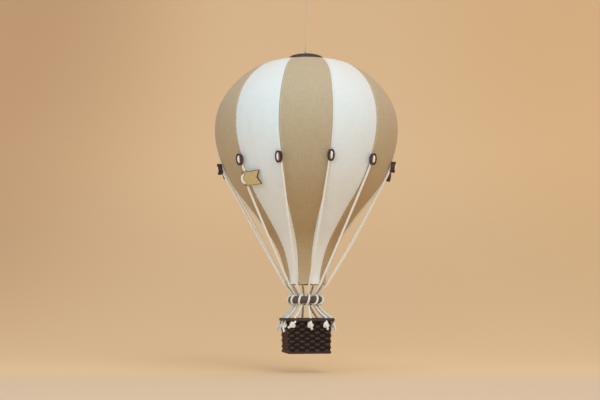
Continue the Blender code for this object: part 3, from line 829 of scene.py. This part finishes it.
def cord_points(number):
    """Rows of x, y, z, thickness share and stretch (0 balloon, 1 ring, 2 basket) along a whole cord."""
    centre, out, up, _ = toggle_look(number)
    rows = [(*(centre + out * o * MM + up * u * MM), 1.0, 0.0) for o, u in BIGHT]
    if number == TAG_CORD:
        middle, across, tag_up, normal = tag_frame()
        for h, n, a, share in TAG_PASS + tuple((-h, *rest) for h, *rest in reversed(TAG_PASS[:-1])):
            rows.append((*(middle + (tag_up * h + normal * n + across * a) * MM), share, 0.0))
    top = np.array(rows[-1][:3])
    hem = hem_point(number, HEM_SHIFT.get(number, 0.0))
    foot = basket_point(number, RIM_MIDDLE - RIM_PASS_IN, RIM_TOP)
    for share in (0.25, 0.5, 0.75) if number in CORD_BOW else ():
        bow = math.sin(math.pi * share) * CORD_BOW[number] * MM
        rows.append((*(top + (hem - top) * share + np.array((bow, 0.0, 0.0))), 1.0, 0.0))
    rows += [(*(hem + (top - hem) * 0.03), 1.0, 0.0), (*hem, 1.0, 0.0)]
    rows += [(*point, 0.97, 1.0) for point in ring_points(number, hem, foot)]
    leave = np.array(rows[-1][:3])
    for share in (0.35, 0.7):
        slack = math.sin(math.pi * share) * CORD_SLACK
        point = leave + (foot - leave) * share
        rows.append((*(point - slack * unit(point * (1, 1, 0)) - UP * slack * 0.4), 1.0, 2.0))
    rows.append((*foot, 1.0, 2.0))
    for out, drop in RIM_PASS:
        rows.append((*basket_point(number, RIM_MIDDLE + out * MM, RIM_TOP + drop * MM), 0.95, 2.0))
    return rows + knot_points(number)


def knot_points(number):
    """Rows of an overhand knot against the basket's wall, and its tail."""
    azimuth, _ = knot_face(number)
    side, out = sideways(azimuth), outward(azimuth)
    base = basket_point(number, wall_half(KNOT_LEVEL) + KNOT_OUT, KNOT_LEVEL)
    base = base + side * KNOT_SHIFT.get(number, 0.0) * MM
    spin = dice.uniform(-KNOT_SPIN, KNOT_SPIN)
    c, s = math.cos(spin), math.sin(spin)
    rows = [(*(base + side * (x * c - y * s) + UP * (x * s + y * c) + out * z), KNOT_SHARE, 2.0)
            for x, y, z in overhand(KNOT_LOBE, KNOT_STRAND, 0.36, 30)]
    lean, length, end = KNOT_TAILS[number]
    lean = math.radians(lean)
    tail = (side * math.sin(lean) - UP * math.cos(lean)) * length * MM
    for share, lift, width in ((0.35, 2.2, 0.9), (0.7, 0.7 * end + 0.9, 1.0), (1.0, end, 1.12)):
        rows.append((*(base + tail * share + out * lift * MM), width, 2.0))
    return rows


def rope_radii(path, shares, radius, lay, sides=ROPE_SIDES, valley=0.87):
    """Radii of a rope of three strands, for each point and side."""
    angles = np.linspace(0, math.tau, sides, endpoint=False)
    phase = ROPE_STRANDS / 2 * (angles - math.tau * lengths(path)[:, None] / lay)
    return radius * shares[:, None] * (valley + (1 - valley) * np.abs(np.cos(phase)))


def make_cord(number, mat):
    """The whole cord in three pieces that meet at the ring: above it, round it and below it."""
    line = curve_through(cord_points(number), ROPE_STEP)
    path, shares, stretch = line[:, :3], line[:, 3], line[:, 4]
    shape = Shape()
    shape.tube(path, rope_radii(path, shares, CORD_R, ROPE_LAY))
    loops = shape.points[0].reshape(len(path), ROPE_SIDES, 3)
    flow = shape.flows[0].reshape(len(path), ROPE_SIDES, 2)
    first = int(np.argmax(stretch > 0.97))
    last = int(np.argmax(stretch > 1.03))
    made = {}
    for part, low, high in (("upper", 0, first), ("turn", first, last), ("lower", last, len(path) - 1)):
        piece = Shape()
        piece.grid(loops[low:high + 1], flow[low:high + 1])
        body, nodes = ("ring", ()) if part == "turn" else (None, (f"cord_{number:02d}_{part}",))
        made[part] = add_piece(f"rope_{number:02d}_{part}", piece, mat, body, nodes)
    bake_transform(made["upper"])
    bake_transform(made["lower"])


# Envelope

def profile_line(count, per_span=24):
    """Outer profile of the fabric, evenly spaced: rows of radius, height, normal (two parts) and length."""
    ends = [PROFILE[0]] + list(PROFILE) + [PROFILE[-1]]
    fine = []
    for i in range(len(PROFILE) - 1):
        a, b, c, d = (np.array(p) for p in ends[i:i + 4])
        for t in np.linspace(0, 1, per_span, endpoint=False):
            fine.append(0.5 * (2 * b + (c - a) * t + (2 * a - 5 * b + 4 * c - d) * t ** 2
                               + (3 * b - a - 3 * c + d) * t ** 3))
    fine.append(np.array(PROFILE[-1]))
    fine = np.array(fine) * MM
    fine[:, 1] = CROWN_Z - fine[:, 1]
    s = lengths(fine)
    at = np.linspace(0, s[-1], count)
    r, z = np.interp(at, s, fine[:, 0]), np.interp(at, s, fine[:, 1])
    along = np.column_stack([np.gradient(r, at), np.gradient(z, at)])
    along /= np.linalg.norm(along, axis=1)[:, None]
    return np.column_stack([r, z, -along[:, 1], along[:, 0], at])


def profile_at(line, place):
    """Radius, height and the two parts of the normal at a length along the profile."""
    return (np.interp(place, line[:, 4], line[:, k]) for k in range(4))


def cloth_relief(number, edge, x, y, right, end):
    """How far the cloth stands off its smooth form at places x across and y along a gore.

    edge is the distance to the nearer seam and end the gore's length. Heights are in mm until the last line.
    """
    a, b, c = np.random.default_rng(number).uniform(0, math.tau, 3)
    seam = -0.42 * bell(edge, 0.45 * MM) + 0.17 * bell(edge - 1.3 * MM, 0.8 * MM)
    allowance = 0.10 * right * step_up(SEAM_ALLOWANCE - edge, 0.6 * MM)
    wander = 2.0 * np.sin(y / (29 * MM) + a) + 3.0 * right
    puckers = 0.09 * np.exp(-edge / (4.5 * MM)) * np.sin(math.tau * y / PUCKER + wander)
    slack = (1 - np.exp(-edge / (6 * MM))) * (0.25 + bell(y - 180 * MM, 75 * MM))
    folds = np.sin(math.tau * (x / FOLD + 0.35 * np.sin(y / (60 * MM) + b)) + c)
    fine = np.sin(math.tau * (x / FINE_FOLD + 0.3 * np.sin(y / (31 * MM) + c)) + a)
    fine = fine * np.sin(y / (24 * MM) + 3 * x / FOLD + b)
    hem = 0.28 * step_up(y - (end - HEM_FOLD), 0.5 * MM)
    return (seam + allowance + puckers + slack * (0.08 * folds + 0.05 * fine) + hem) * MM


def make_gore(number, mat):
    """One sewn panel of stretched cloth, with its seam edges turned in and its hem folded."""
    line = profile_line(CLOTH_ROWS)
    left_seam = seam_line(number - 1 or GORES, line[:, 1]) - (0 if number > 1 else 360)
    right_seam = seam_line(number, line[:, 1])
    middle = np.radians(left_seam + right_seam)[:, None] / 2
    spread = np.radians(right_seam - left_seam)[:, None] / 2
    share = np.array([1 - c for c in HALF_COLUMNS])
    share = np.concatenate([-share, share[::-1][1:]])
    r, z, nr, nz, y = (line[:, k][:, None] for k in range(5))
    half = r * spread - SEAM_SPLIT
    x = half * share
    edge = half - np.abs(x)
    right = (share > 0) * 1.0 + 0 * x
    bulge = -SEAM_SINK * np.abs(share) ** 3
    off = cloth_relief(number, edge, x, y, right, line[-1, 4]) + bulge
    azimuth = middle + x / r
    radial = np.stack([np.sin(azimuth), -np.cos(azimuth), 0 * azimuth], axis=-1)

    def surface(distance):
        """Points of the cloth at a distance off its smooth form."""
        return (radial * (r + distance * nr)[..., None] + UP * (z + distance * nz)[..., None]).reshape(-1, 3)

    shape = Shape()
    flow = flow_of(x / CM, y / CM).reshape(-1, 2)
    shape.points = [surface(off), surface(bulge - CLOTH)]
    shape.flows = [flow, flow]
    outer = np.arange(x.size).reshape(x.shape)
    inner = outer + x.size
    shape.quads(outer)
    shape.quads(inner[:, ::-1])
    for pair in ((inner[:, 0], outer[:, 0]), (outer[:, -1], inner[:, -1])):
        shape.quads(np.stack(pair, axis=1))
    for pair in ((inner[0], outer[0]), (outer[-1], inner[-1])):
        shape.quads(np.stack(pair, axis=0))
    gore = add_piece(f"gore_cloth_{number:02d}", shape, mat, "balloon", (f"gore_{number:02d}",))


def add_stitch(shape, a, b, normal, radius, rise, along=0.0):
    """Adds one stitch from a to b, proud in its middle. along is its place in the cloth's colours."""
    places = np.array([a + (b - a) * t + normal * rise * lift for t, lift, _ in STITCH_FORM])
    radii = np.array([[share * radius] * STITCH_SIDES for *_, share in STITCH_FORM])
    shape.tube(places, radii, flow_start=dice.random())
    shape.flows[-1][:, 1] += along / CM


def make_seam_stitches(number, mat):
    """Row of stitches beside one seam and round the hem of the gore next to it."""
    line = profile_line(900)
    shape = Shape()
    end = line[-1, 4]
    at = STITCH_START
    while at < end - STITCH_END:
        ends = []
        for place in (at, at + STITCH):
            r, z, nr, nz = profile_at(line, place)
            azimuth = float(seam_line(number, np.array([z]))[0]) + math.degrees(STITCH_INSET / r)
            normal = outward(azimuth) * nr + UP * nz
            ends.append((outward(azimuth) * r + UP * z - normal * STITCH_SINK, normal))
        add_stitch(shape, ends[0][0], ends[1][0], ends[0][1], SEAM_STITCH_R, SEAM_STITCH_RISE, at)
        at += STITCH + STITCH_GAP
    at = end - HEM_STITCH_UP
    r, z, _, _ = profile_at(line, at)
    count = int(GORE_STEP / math.degrees((STITCH + STITCH_GAP) / r))
    for k in range(count):
        turns = [seam_azimuth(number) + GORE_STEP * ((k + share) / count - 1) for share in HEM_STITCH_SPAN]
        a, b = (outward(azimuth) * (r + STITCH_SINK) + UP * z for azimuth in turns)
        add_stitch(shape, a, b, outward(turns[0]), HEM_STITCH_R, HEM_STITCH_R, at)
    add_piece(f"seam_stitches_{number:02d}", shape, mat, "balloon")


def make_cap(mat, thread_mat):
    """Round leather cap that lies on the crown, with a row of stitches inside its edge."""
    slope = (PROFILE[1][1] - PROFILE[0][1]) / (PROFILE[1][0] - PROFILE[0][0])
    fabric_axis = level(PROFILE[1][1] * MM) + CLEAR + slope * PROFILE[1][0] * MM

    def under(r):
        """Height of the underside at a radius."""
        return fabric_axis - slope * r

    def top(r):
        """Height of the top at a radius."""
        return level(CAP_APEX) - (CAP_RIM_TOP - CAP_APEX) * (r / CAP_R) ** CAP_CURVE

    section = [(r, under(r)) for r in np.linspace(CAP_BORE, CAP_R - CAP_EDGE, 6)]
    middle, half = (top(CAP_R) + under(CAP_R)) / 2, (top(CAP_R) - under(CAP_R)) / 2
    for turn in np.radians(-90 + 180 * np.arange(1, 8) / 8):
        section.append((CAP_R - CAP_EDGE + CAP_EDGE * math.cos(turn), middle + half * math.sin(turn)))
    for r in np.linspace(CAP_R - CAP_EDGE, CAP_BORE, 16):
        section.append((r, top(r) - CAP_GROOVE * bell(r - CAP_STITCH_AT, 0.5 * MM)))
    section = np.array(section)
    turns = np.arange(CAP_SIDES) * 360 / CAP_SIDES
    radial = np.array([outward(a) for a in turns])
    wobble = 0.072 * MM * np.sin(np.radians(turns * 3 + 40)) + 0.048 * MM * np.sin(np.radians(turns * 7))
    rise = section[:, 1:] + wobble * section[:, :1] / CAP_R
    points = CAP_MIDDLE + radial * section[:, 0][:, None, None] + UP * rise[..., None]
    shape = Shape()
    shape.grid(points, flow_of(turns / 60, section[:, :1] / CM))
    add_piece("crown_cap_leather", shape, mat, "balloon", ("crown_cap",))
    shape = Shape()
    at = CAP_MIDDLE + UP * (top(CAP_STITCH_AT) - 0.1 * MM)
    for azimuth in np.arange(CAP_STITCHES) * 360 / CAP_STITCHES:
        a, b = (at + outward(azimuth + v) * CAP_STITCH_AT for v in (-CAP_STITCH_HALF, CAP_STITCH_HALF))
        add_stitch(shape, a, b, UP, CAP_STITCH_R, CAP_STITCH_R)
    add_piece("cap_stitches", shape, thread_mat, "balloon")


def make_crown_knot(mat):
    """Whipped knot of the thread on the cap: turns of thread that narrow to a cone."""
    rows = []
    base, height = level(CAP_APEX) + 0.2 * MM, CAP_APEX + CAP_KNOT_TOP
    for share in np.linspace(0, 1, int(CROWN_TURNS * 16) + 1):
        r = CROWN_TURN_R - CROWN_NARROWING * share ** 1.5
        place = outward(360 * CROWN_TURNS * share) * r + np.array((CROWN_X, 0.0, base + height * share))
        rows.append((*place, 1.0))
    line = curve_through(rows, THREAD_STEP, 4)
    shape = Shape()
    shape.tube(line[:, :3], np.full((len(line), 7), CROWN_STRAND_R))
    core = np.array([(CROWN_X, 0, base + rise) for rise in (-0.4 * MM, height * 0.5, height)])
    shape.tube(core, np.array([1.1, 0.8, 0.2])[:, None] * np.full((3, 12), MM))
    add_piece("crown_knot_thread", shape, mat, "balloon", ("crown_knot",))


def make_thread(mat):
    """Hanging thread with its tear-shaped loop, a small overhand knot below it and the knot's tail."""
    bottom = CROWN_Z + THREAD_FOOT
    rows = [(CROWN_X, 0, bottom), (CROWN_X, 0, bottom + 4 * MM), (0, 0, THREAD_KNOT_Z - 3.5 * MM)]
    for x, y, out in overhand(THREAD_LOBE, THREAD_STRAND, 0.3, 24):
        rows.append((x, out, THREAD_KNOT_Z - 1.0 * MM + y))
    for angle in np.radians(np.linspace(-62, 242, 13)):
        rows.append((LOOP_R * 0.9 * math.cos(angle), 0, THREAD_R - LOOP_R + LOOP_R * math.sin(angle)))
    rows += [(x * MM, y * MM, THREAD_KNOT_Z + z * MM) for x, y, z in THREAD_TAIL]
    line = curve_through([(*row, 1.0) for row in rows], THREAD_STEP)
    shape = Shape()
    shape.tube(line[:, :3], rope_radii(line[:, :3], line[:, 3], THREAD_R, THREAD_LAY, sides=9, valley=0.8))
    add_piece("hanging_thread_twisted", shape, mat, "hanger", ("hanging_thread",))


def make_toggle(number, mat):
    """Oval leather ring on its seam, rounded and a little flared at its outer face."""
    centre, out, up, side = toggle_look(number)
    turns = np.arange(TOGGLE_SECTION_SIDES) * math.tau / TOGGLE_SECTION_SIDES
    deep = rounded(np.sin(turns), 0.55) * TOGGLE_DEPTH / 2
    flare = 0.28 * MM * (0.5 + deep / TOGGLE_DEPTH) ** 3 - 0.10 * MM * bell(deep, TOGGLE_DEPTH * 0.3)
    across = rounded(np.cos(turns), 0.6) * TOGGLE_WALL / 2 + flare
    angles = np.linspace(0, math.tau, TOGGLE_SIDES, endpoint=False)
    normal = np.column_stack([np.cos(angles) * TOGGLE_H, np.sin(angles) * TOGGLE_W])
    normal /= np.linalg.norm(normal, axis=1)[:, None]
    u = np.cos(angles) * (TOGGLE_W * TOGGLE_SHARE - TOGGLE_WALL) / 2
    v = np.sin(angles) * (TOGGLE_H * TOGGLE_SHARE - TOGGLE_WALL) / 2
    lateral = u[:, None] + normal[:, :1] * across
    vertical = v[:, None] + normal[:, 1:] * across
    points = centre + lateral[..., None] * side + vertical[..., None] * up + deep[:, None] * out
    shape = Shape()
    shape.grid(points, flow_of(angles[:, None] + number, deep / CM), wrap_rows=True)
    name, node = f"toggle_leather_{number:02d}", f"toggle_{number:02d}"
    add_piece(name, shape, mat, "balloon", (node,))


def make_ring(mat):
    """Thick ring closely wound with thread."""
    count, sides = RING_TURNS * 5, 22
    azimuths = np.arange(count) * 360.0 / count
    angles = np.arange(sides) * math.tau / sides
    phase = azimuths[:, None] / 360.0 * RING_TURNS + angles / math.tau
    ridge = np.abs(np.cos(math.pi * phase)) ** 0.6
    r = RING_MINOR - RING_INSET + RING_RIDGE * ridge + RING_UNEVEN * uneven(3, RING_TURNS, phase)
    radial = np.array([outward(a) for a in azimuths])
    points = lofted(RING_CENTRE + radial * RING_MAJOR, radial, r * np.cos(angles), r * np.sin(angles))
    shape = Shape()
    shape.grid(points, flow_of(phase, angles), wrap_rows=True)
    add_piece("ring_wound", shape, mat, "ring", ("ring",))


# Basket

def square_path(half, corner, count):
    """Points and outward directions round a square with round corners, from mid face, and its length."""
    straight = half - corner
    quarter = 2 * straight + math.pi / 2 * corner
    length = 4 * quarter
    points, normals = [], []
    for s in np.arange(count) * length / count:
        side, rest = divmod(s + quarter / 2, quarter)
        rest -= quarter / 2
        azimuth = BASKET_YAW + 90.0 * side
        if abs(rest) <= straight:
            points.append(outward(azimuth) * half + sideways(azimuth) * rest)
            normals.append(outward(azimuth))
        else:
            over = math.copysign((abs(rest) - straight) / corner, rest)
            middle = outward(azimuth) * straight + sideways(azimuth) * math.copysign(straight, rest)
            turned = outward(azimuth + math.degrees(over))
            points.append(middle + turned * corner)
            normals.append(turned)
    return np.array(points), np.array(normals), length


def make_weave(mat):
    """Rows of flat strip that pass before and behind the stakes in turn."""
    shape = Shape()
    count = STAKES * WEAVE_STEPS
    place = np.arange(count) / WEAVE_STEPS
    for row in range(ROWS):
        depth = WEAVE_TOP + ROW_H * (row + 0.5)
        points, normals, length = square_path(wall_half(depth) - BASKET_WALL / 2, WALL_CORNER_R, count)
        bow = WEAVE * rounded(np.cos(math.pi * (place - 0.5) + math.pi * row), 0.36)
        jitter = uneven(40 + row, STAKES, place)
        across = STRIP[:, 0] * (STRIP_HALF * (1 - 0.05 * jitter))[:, None]
        rise = level(depth) + 0.12 * MM * jitter[:, None] + across
        grid = lofted(BASKET_MIDDLE + points, normals, bow[:, None] + STRIP[:, 1] * STRIP_T, rise)
        run = np.arange(count) * length / count / CM
        shape.grid(grid, flow_of(STRIP[:, 0] * 0.16 + row * 3.7, run[:, None]), wrap_rows=True)
    add_piece("basket_weave", shape, mat, "basket", ("basket_body",))


def make_stakes(mat):
    """Upright stakes in the walls and the flat ones that cross in the woven floor."""
    shape = Shape()
    depths = np.linspace(RIM_TOP + RIM_H - 0.6 * MM, BASKET_BOTTOM - 1.2 * MM, 46)
    for k in range(STAKES):
        rows = []
        for depth in depths:
            points, normals, _ = square_path(wall_half(depth) - BASKET_WALL / 2, WALL_CORNER_R, STAKES * 2)
            here, normal = points[2 * k + 1], normals[2 * k + 1]
            bow = -STAKE_BOW * math.cos(math.pi * (k + (depth - WEAVE_TOP) / ROW_H - 0.5))
            rows.append(BASKET_MIDDLE + here + normal * bow + UP * level(depth)
                        + np.cross(UP, normal) * STAKE[:, :1] * STAKE_HALF + normal * STAKE[:, 1:] * STAKE_T)
        shape.grid(np.array(rows), flow_of(STAKE[:, 0] * 0.17 + k * 2.3, depths[:, None] / CM))
    pitch = 2 * FLOOR_HALF / FLOOR_STAKES
    runs = np.linspace(-FLOOR_HALF - 0.4 * MM, FLOOR_HALF + 0.4 * MM, 65)
    a, b = outward(BASKET_YAW), sideways(BASKET_YAW)
    for direction, (a, b) in enumerate(((a, b), (b, a))):
        for k in range(FLOOR_STAKES):
            lateral = (k - (FLOOR_STAKES - 1) / 2) * pitch
            lift = FLOOR_BOW * np.cos(math.pi * ((runs + FLOOR_HALF) / pitch - 0.5 + k + direction))
            rows = BASKET_MIDDLE + (a * runs[:, None])[:, None] + b * (lateral + STAKE[:, :1] * pitch * 0.44)
            rows = rows + UP * (level(FLOOR_LEVEL) + lift[:, None] + STAKE[:, 1] * STAKE_T)[..., None]
            shape.grid(rows, flow_of(STAKE[:, 0] * 0.2 + k * 1.9 + direction * 31, runs[:, None] / CM))
    add_piece("basket_stakes", shape, mat, "basket")


def make_foot_border(mat):
    """Two strands twisted round each other at the foot of the walls."""
    shape = Shape()
    count = 300
    half = wall_half(BASKET_BOTTOM - 2 * MM) - BASKET_WALL / 2 + 0.1 * MM
    points, normals, _ = square_path(half, BORDER_CORNER_R, count)
    for strand in (0, 1):
        turn = (math.tau * BORDER_TWISTS * np.arange(count) / count + strand * math.pi)[:, None]
        rise = level(BORDER_LEVEL) + BORDER_REACH * np.sin(turn)
        path = lofted(BASKET_MIDDLE + points, normals, BORDER_REACH * np.cos(turn), rise)[:, 0]
        shape.tube(path, np.full((count, 8), BORDER_R), flow_start=strand * 5.0, closed=True)
    add_piece("basket_foot_border", shape, mat, "basket")


def make_rim(mat):
    """Border of the basket's top, closely wrapped with strip."""
    count, sides = 408, 18
    points, normals, _ = square_path(RIM_MIDDLE, CORNER_R, count)
    angles = np.arange(sides) * math.tau / sides
    phase = RIM_WRAPS * np.arange(count)[:, None] / count + RIM_SLANT * angles / math.tau
    swell = np.minimum(1.0, 2.6 * (0.5 - np.abs(phase % 1.0 - 0.5)))
    ridge = 0.87 + 0.11 * swell + 0.015 * uneven(11, RIM_WRAPS, phase)
    out = rounded(np.cos(angles), 0.75) * (RIM_HALF - RIM_IN) / 2 * ridge
    rise = level(RIM_TOP + RIM_H / 2) + rounded(np.sin(angles), 0.75) * RIM_H / 2 * ridge
    shape = Shape()
    flow = flow_of(np.floor(phase) * 3.1 + (phase % 1.0) * 0.25, angles / 6)
    shape.grid(lofted(points, normals, out, rise), flow, wrap_rows=True)
    add_piece("basket_rim_wrapped", shape, mat, "basket", ("basket_rim",))


def make_tag(mat):
    """Blank plywood flag with a cut tail and two holes, its edges a little rounded."""
    centre, across, up, normal = tag_frame()
    far = TAG_W - TAG_EDGE
    loops = [[(-TAG_EDGE, -TAG_H / 2), (far, -TAG_H / 2), (far - TAG_NOTCH, 0.0), (far, TAG_H / 2),
              (-TAG_EDGE, TAG_H / 2)]]
    for height in (-TAG_HOLE_H, TAG_HOLE_H):
        turns = np.radians(np.arange(TAG_HOLE_SIDES) * 360 / TAG_HOLE_SIDES)
        loops.append([(TAG_HOLE_R * math.cos(t), height + TAG_HOLE_R * math.sin(t)) for t in turns])
    bm = bmesh.new()
    for loop in loops:
        corners = [bm.verts.new(centre + across * x + up * y - normal * TAG_T / 2) for x, y in loop]
        for a, b in zip(corners, corners[1:] + corners[:1]):
            bm.edges.new((a, b))
    bmesh.ops.triangle_fill(bm, use_beauty=True, edges=bm.edges[:], normal=normal)
    raised = bmesh.ops.extrude_face_region(bm, geom=bm.faces[:])["geom"]
    for vert in raised:
        if isinstance(vert, bmesh.types.BMVert):
            vert.co += Vector(normal * TAG_T)
    bmesh.ops.recalc_face_normals(bm, faces=bm.faces)
    sharp = [edge for edge in bm.edges if edge.calc_face_angle(0.0) > 1.0]
    bmesh.ops.bevel(bm, geom=sharp, offset=TAG_BEVEL, segments=2, profile=0.6, affect="EDGES")
    mesh = bpy.data.meshes.new("tag_blank")
    bm.to_mesh(mesh)
    bm.free()
    place_piece("tag_blank", mesh, mat, "balloon", ("tag",))


# Stage

def make_camera():
    """Camera of the photograph."""
    data = bpy.data.cameras.new("camera")
    data.lens = CAMERA_LENS
    data.sensor_width = CAMERA_SENSOR
    data.clip_start, data.clip_end = CAMERA_CLIP
    camera = link("camera", data)
    camera.location = CAMERA_AT
    camera.rotation_euler = (math.radians(90.0 + CAMERA_PITCH), 0.0, 0.0)
    bpy.context.scene.camera = camera


def make_light(name, at, size, energy, colour):
    """Round softbox that points at the balloon."""
    data = bpy.data.lights.new(name, "AREA")
    data.shape = "DISK"
    data.size = size
    data.energy = energy
    data.color = colour
    data.spread = math.radians(LIGHT_SPREAD)
    light = link(name, data)
    light.location = at
    light.visible_camera = False
    light.rotation_euler = (Vector(LIGHT_TARGET) - Vector(at)).to_track_quat("-Z", "Y").to_euler()


def stage_paper():
    """Paper that glows a little, in a floor colour that passes into those of the wall behind and round it.
    The wall is painted darker towards the left and towards the floor: painted shade.
    """
    mat = Surface("stage_paper", 0.95, Specular_IOR_Level=0.05, Emission_Strength=STAGE_GLOW)
    x, y, z = mat.node("ShaderNodeSeparateXYZ", {0: mat.place()}).outputs
    # Painted shade: the wall darker towards the left.
    wall = mat.mix(mat.change(x, *LEFT_SHADE_CHANGE), srgb(*STAGE_WALL_LEFT_PAINTED_SHADE), srgb(*STAGE_WALL_MIDDLE))
    wall = mat.mix(mat.change(x, *RIGHT_CHANGE), wall, srgb(*STAGE_WALL_RIGHT))
    # Painted shade: the wall darker towards the floor.
    foot = (STAGE_WALL_FOOT_PAINTED_SHADE,) * 3 + (1.0,)
    shade = mat.mix(mat.change(z, FLOOR_Z, FLOOR_Z + FOOT_SHADE_RISE), foot, (1, 1, 1, 1))
    wall = mat.mix(1.0, wall, shade, "MULTIPLY")
    behind = mat.math("MAXIMUM", mat.change(y, *WALL_CHANGE), mat.change(z, FLOOR_Z, FLOOR_Z + WALL_RISE))
    colour = mat.mix(behind, srgb(*STAGE_FLOOR), wall)
    colour = mat.mix(mat.change(y, *FRONT_CHANGE), colour, srgb(*STAGE_FRONT))
    mat.put(mat.shader.inputs["Emission Color"], colour)
    return mat.finish(colour)


def make_stage():
    """Pale floor that rises all round in one soft curve, open at the top, the world and the lights."""
    profile = [(0.02, 0.0), (0.2, 0.0), (STAGE_FLAT, 0.0)]
    for turn in np.radians(np.arange(1, 41) * 90 / 40):
        profile.append((STAGE_FLAT + STAGE_CURVE * math.sin(turn), STAGE_CURVE * (1 - math.cos(turn))))
    turns = np.arange(STAGE_SIDES) * 360 / STAGE_SIDES
    shape = Shape()
    shape.grid(np.array([[outward(a) * r + UP * (FLOOR_Z + z) for a in turns] for r, z in profile]))
    shape.faces.pop()
    mesh = bpy.data.meshes.new("stage")
    mesh.from_pydata(shape.points[0].tolist(), [], shape.faces)
    mesh.shade_smooth()
    mesh.materials.append(stage_paper())
    link("stage", mesh)

    world = bpy.data.worlds.new("studio")
    world.use_nodes = True
    background = world.node_tree.nodes["Background"]
    background.inputs["Color"].default_value = WORLD_COLOUR
    background.inputs["Strength"].default_value = WORLD_LIGHT
    bpy.context.scene.world = world
    for light in LIGHTS:
        make_light(*light)


bpy.context.scene.view_settings.view_transform = "Standard"
make_camera()
# The linen colours carry painted shade and light from crown to hem.
tan_cloth = linen("linen_tan_painted_shade", TAN_LINEN_PAINTED_SHADE, 0.3)
white_cloth = linen("linen_white_painted_shade", WHITE_LINEN_PAINTED_SHADE, 0.14)
cord_cotton = cotton("cord_cotton", (252, 250, 245), (236, 232, 224))
thread_cotton = cotton("thread_cotton", (206, 203, 198), (168, 163, 156), 0.4)
ring_thread = cotton("ring_thread", (122, 97, 86), (70, 54, 48), 0.6)
toggle_leather = leather("toggle_hide", (34, 17, 14), (104, 56, 42), 0.42)
cap_hide = leather("cap_hide", (60, 46, 46), (100, 82, 78), 0.8)
wicker_strip = wood_strip("wicker_strip", (26, 14, 10), (82, 49, 35), 0.5)
# The stakes' near-black colours are partly their own dark tone and partly painted shade of the recessed cells
# of the weave.
wicker_stake_painted_shade = wood_strip("wicker_stake_painted_shade", (6, 4, 3), (22, 14, 10), 0.85)
wicker_rim = wood_strip("wicker_rim", (34, 20, 17), (84, 52, 44), 0.5)

for cord_number in range(1, GORES + 1):
    make_cord(cord_number, cord_cotton)
make_cap(cap_hide, thread_cotton)
make_crown_knot(thread_cotton)
make_thread(thread_cotton)
for gore_number in range(1, GORES + 1):
    cloth, cloth_slot = (tan_cloth, "tan_fabric") if gore_number % 2 else (white_cloth, "white_fabric")
    make_gore(gore_number, cloth)
    make_seam_stitches(gore_number, cloth)
    make_toggle(gore_number, toggle_leather)
make_ring(ring_thread)
make_weave(wicker_strip)
make_stakes(wicker_stake_painted_shade)
make_foot_border(wicker_strip)
make_rim(wicker_rim)
make_tag(plywood("tag_plywood"))
make_stage()
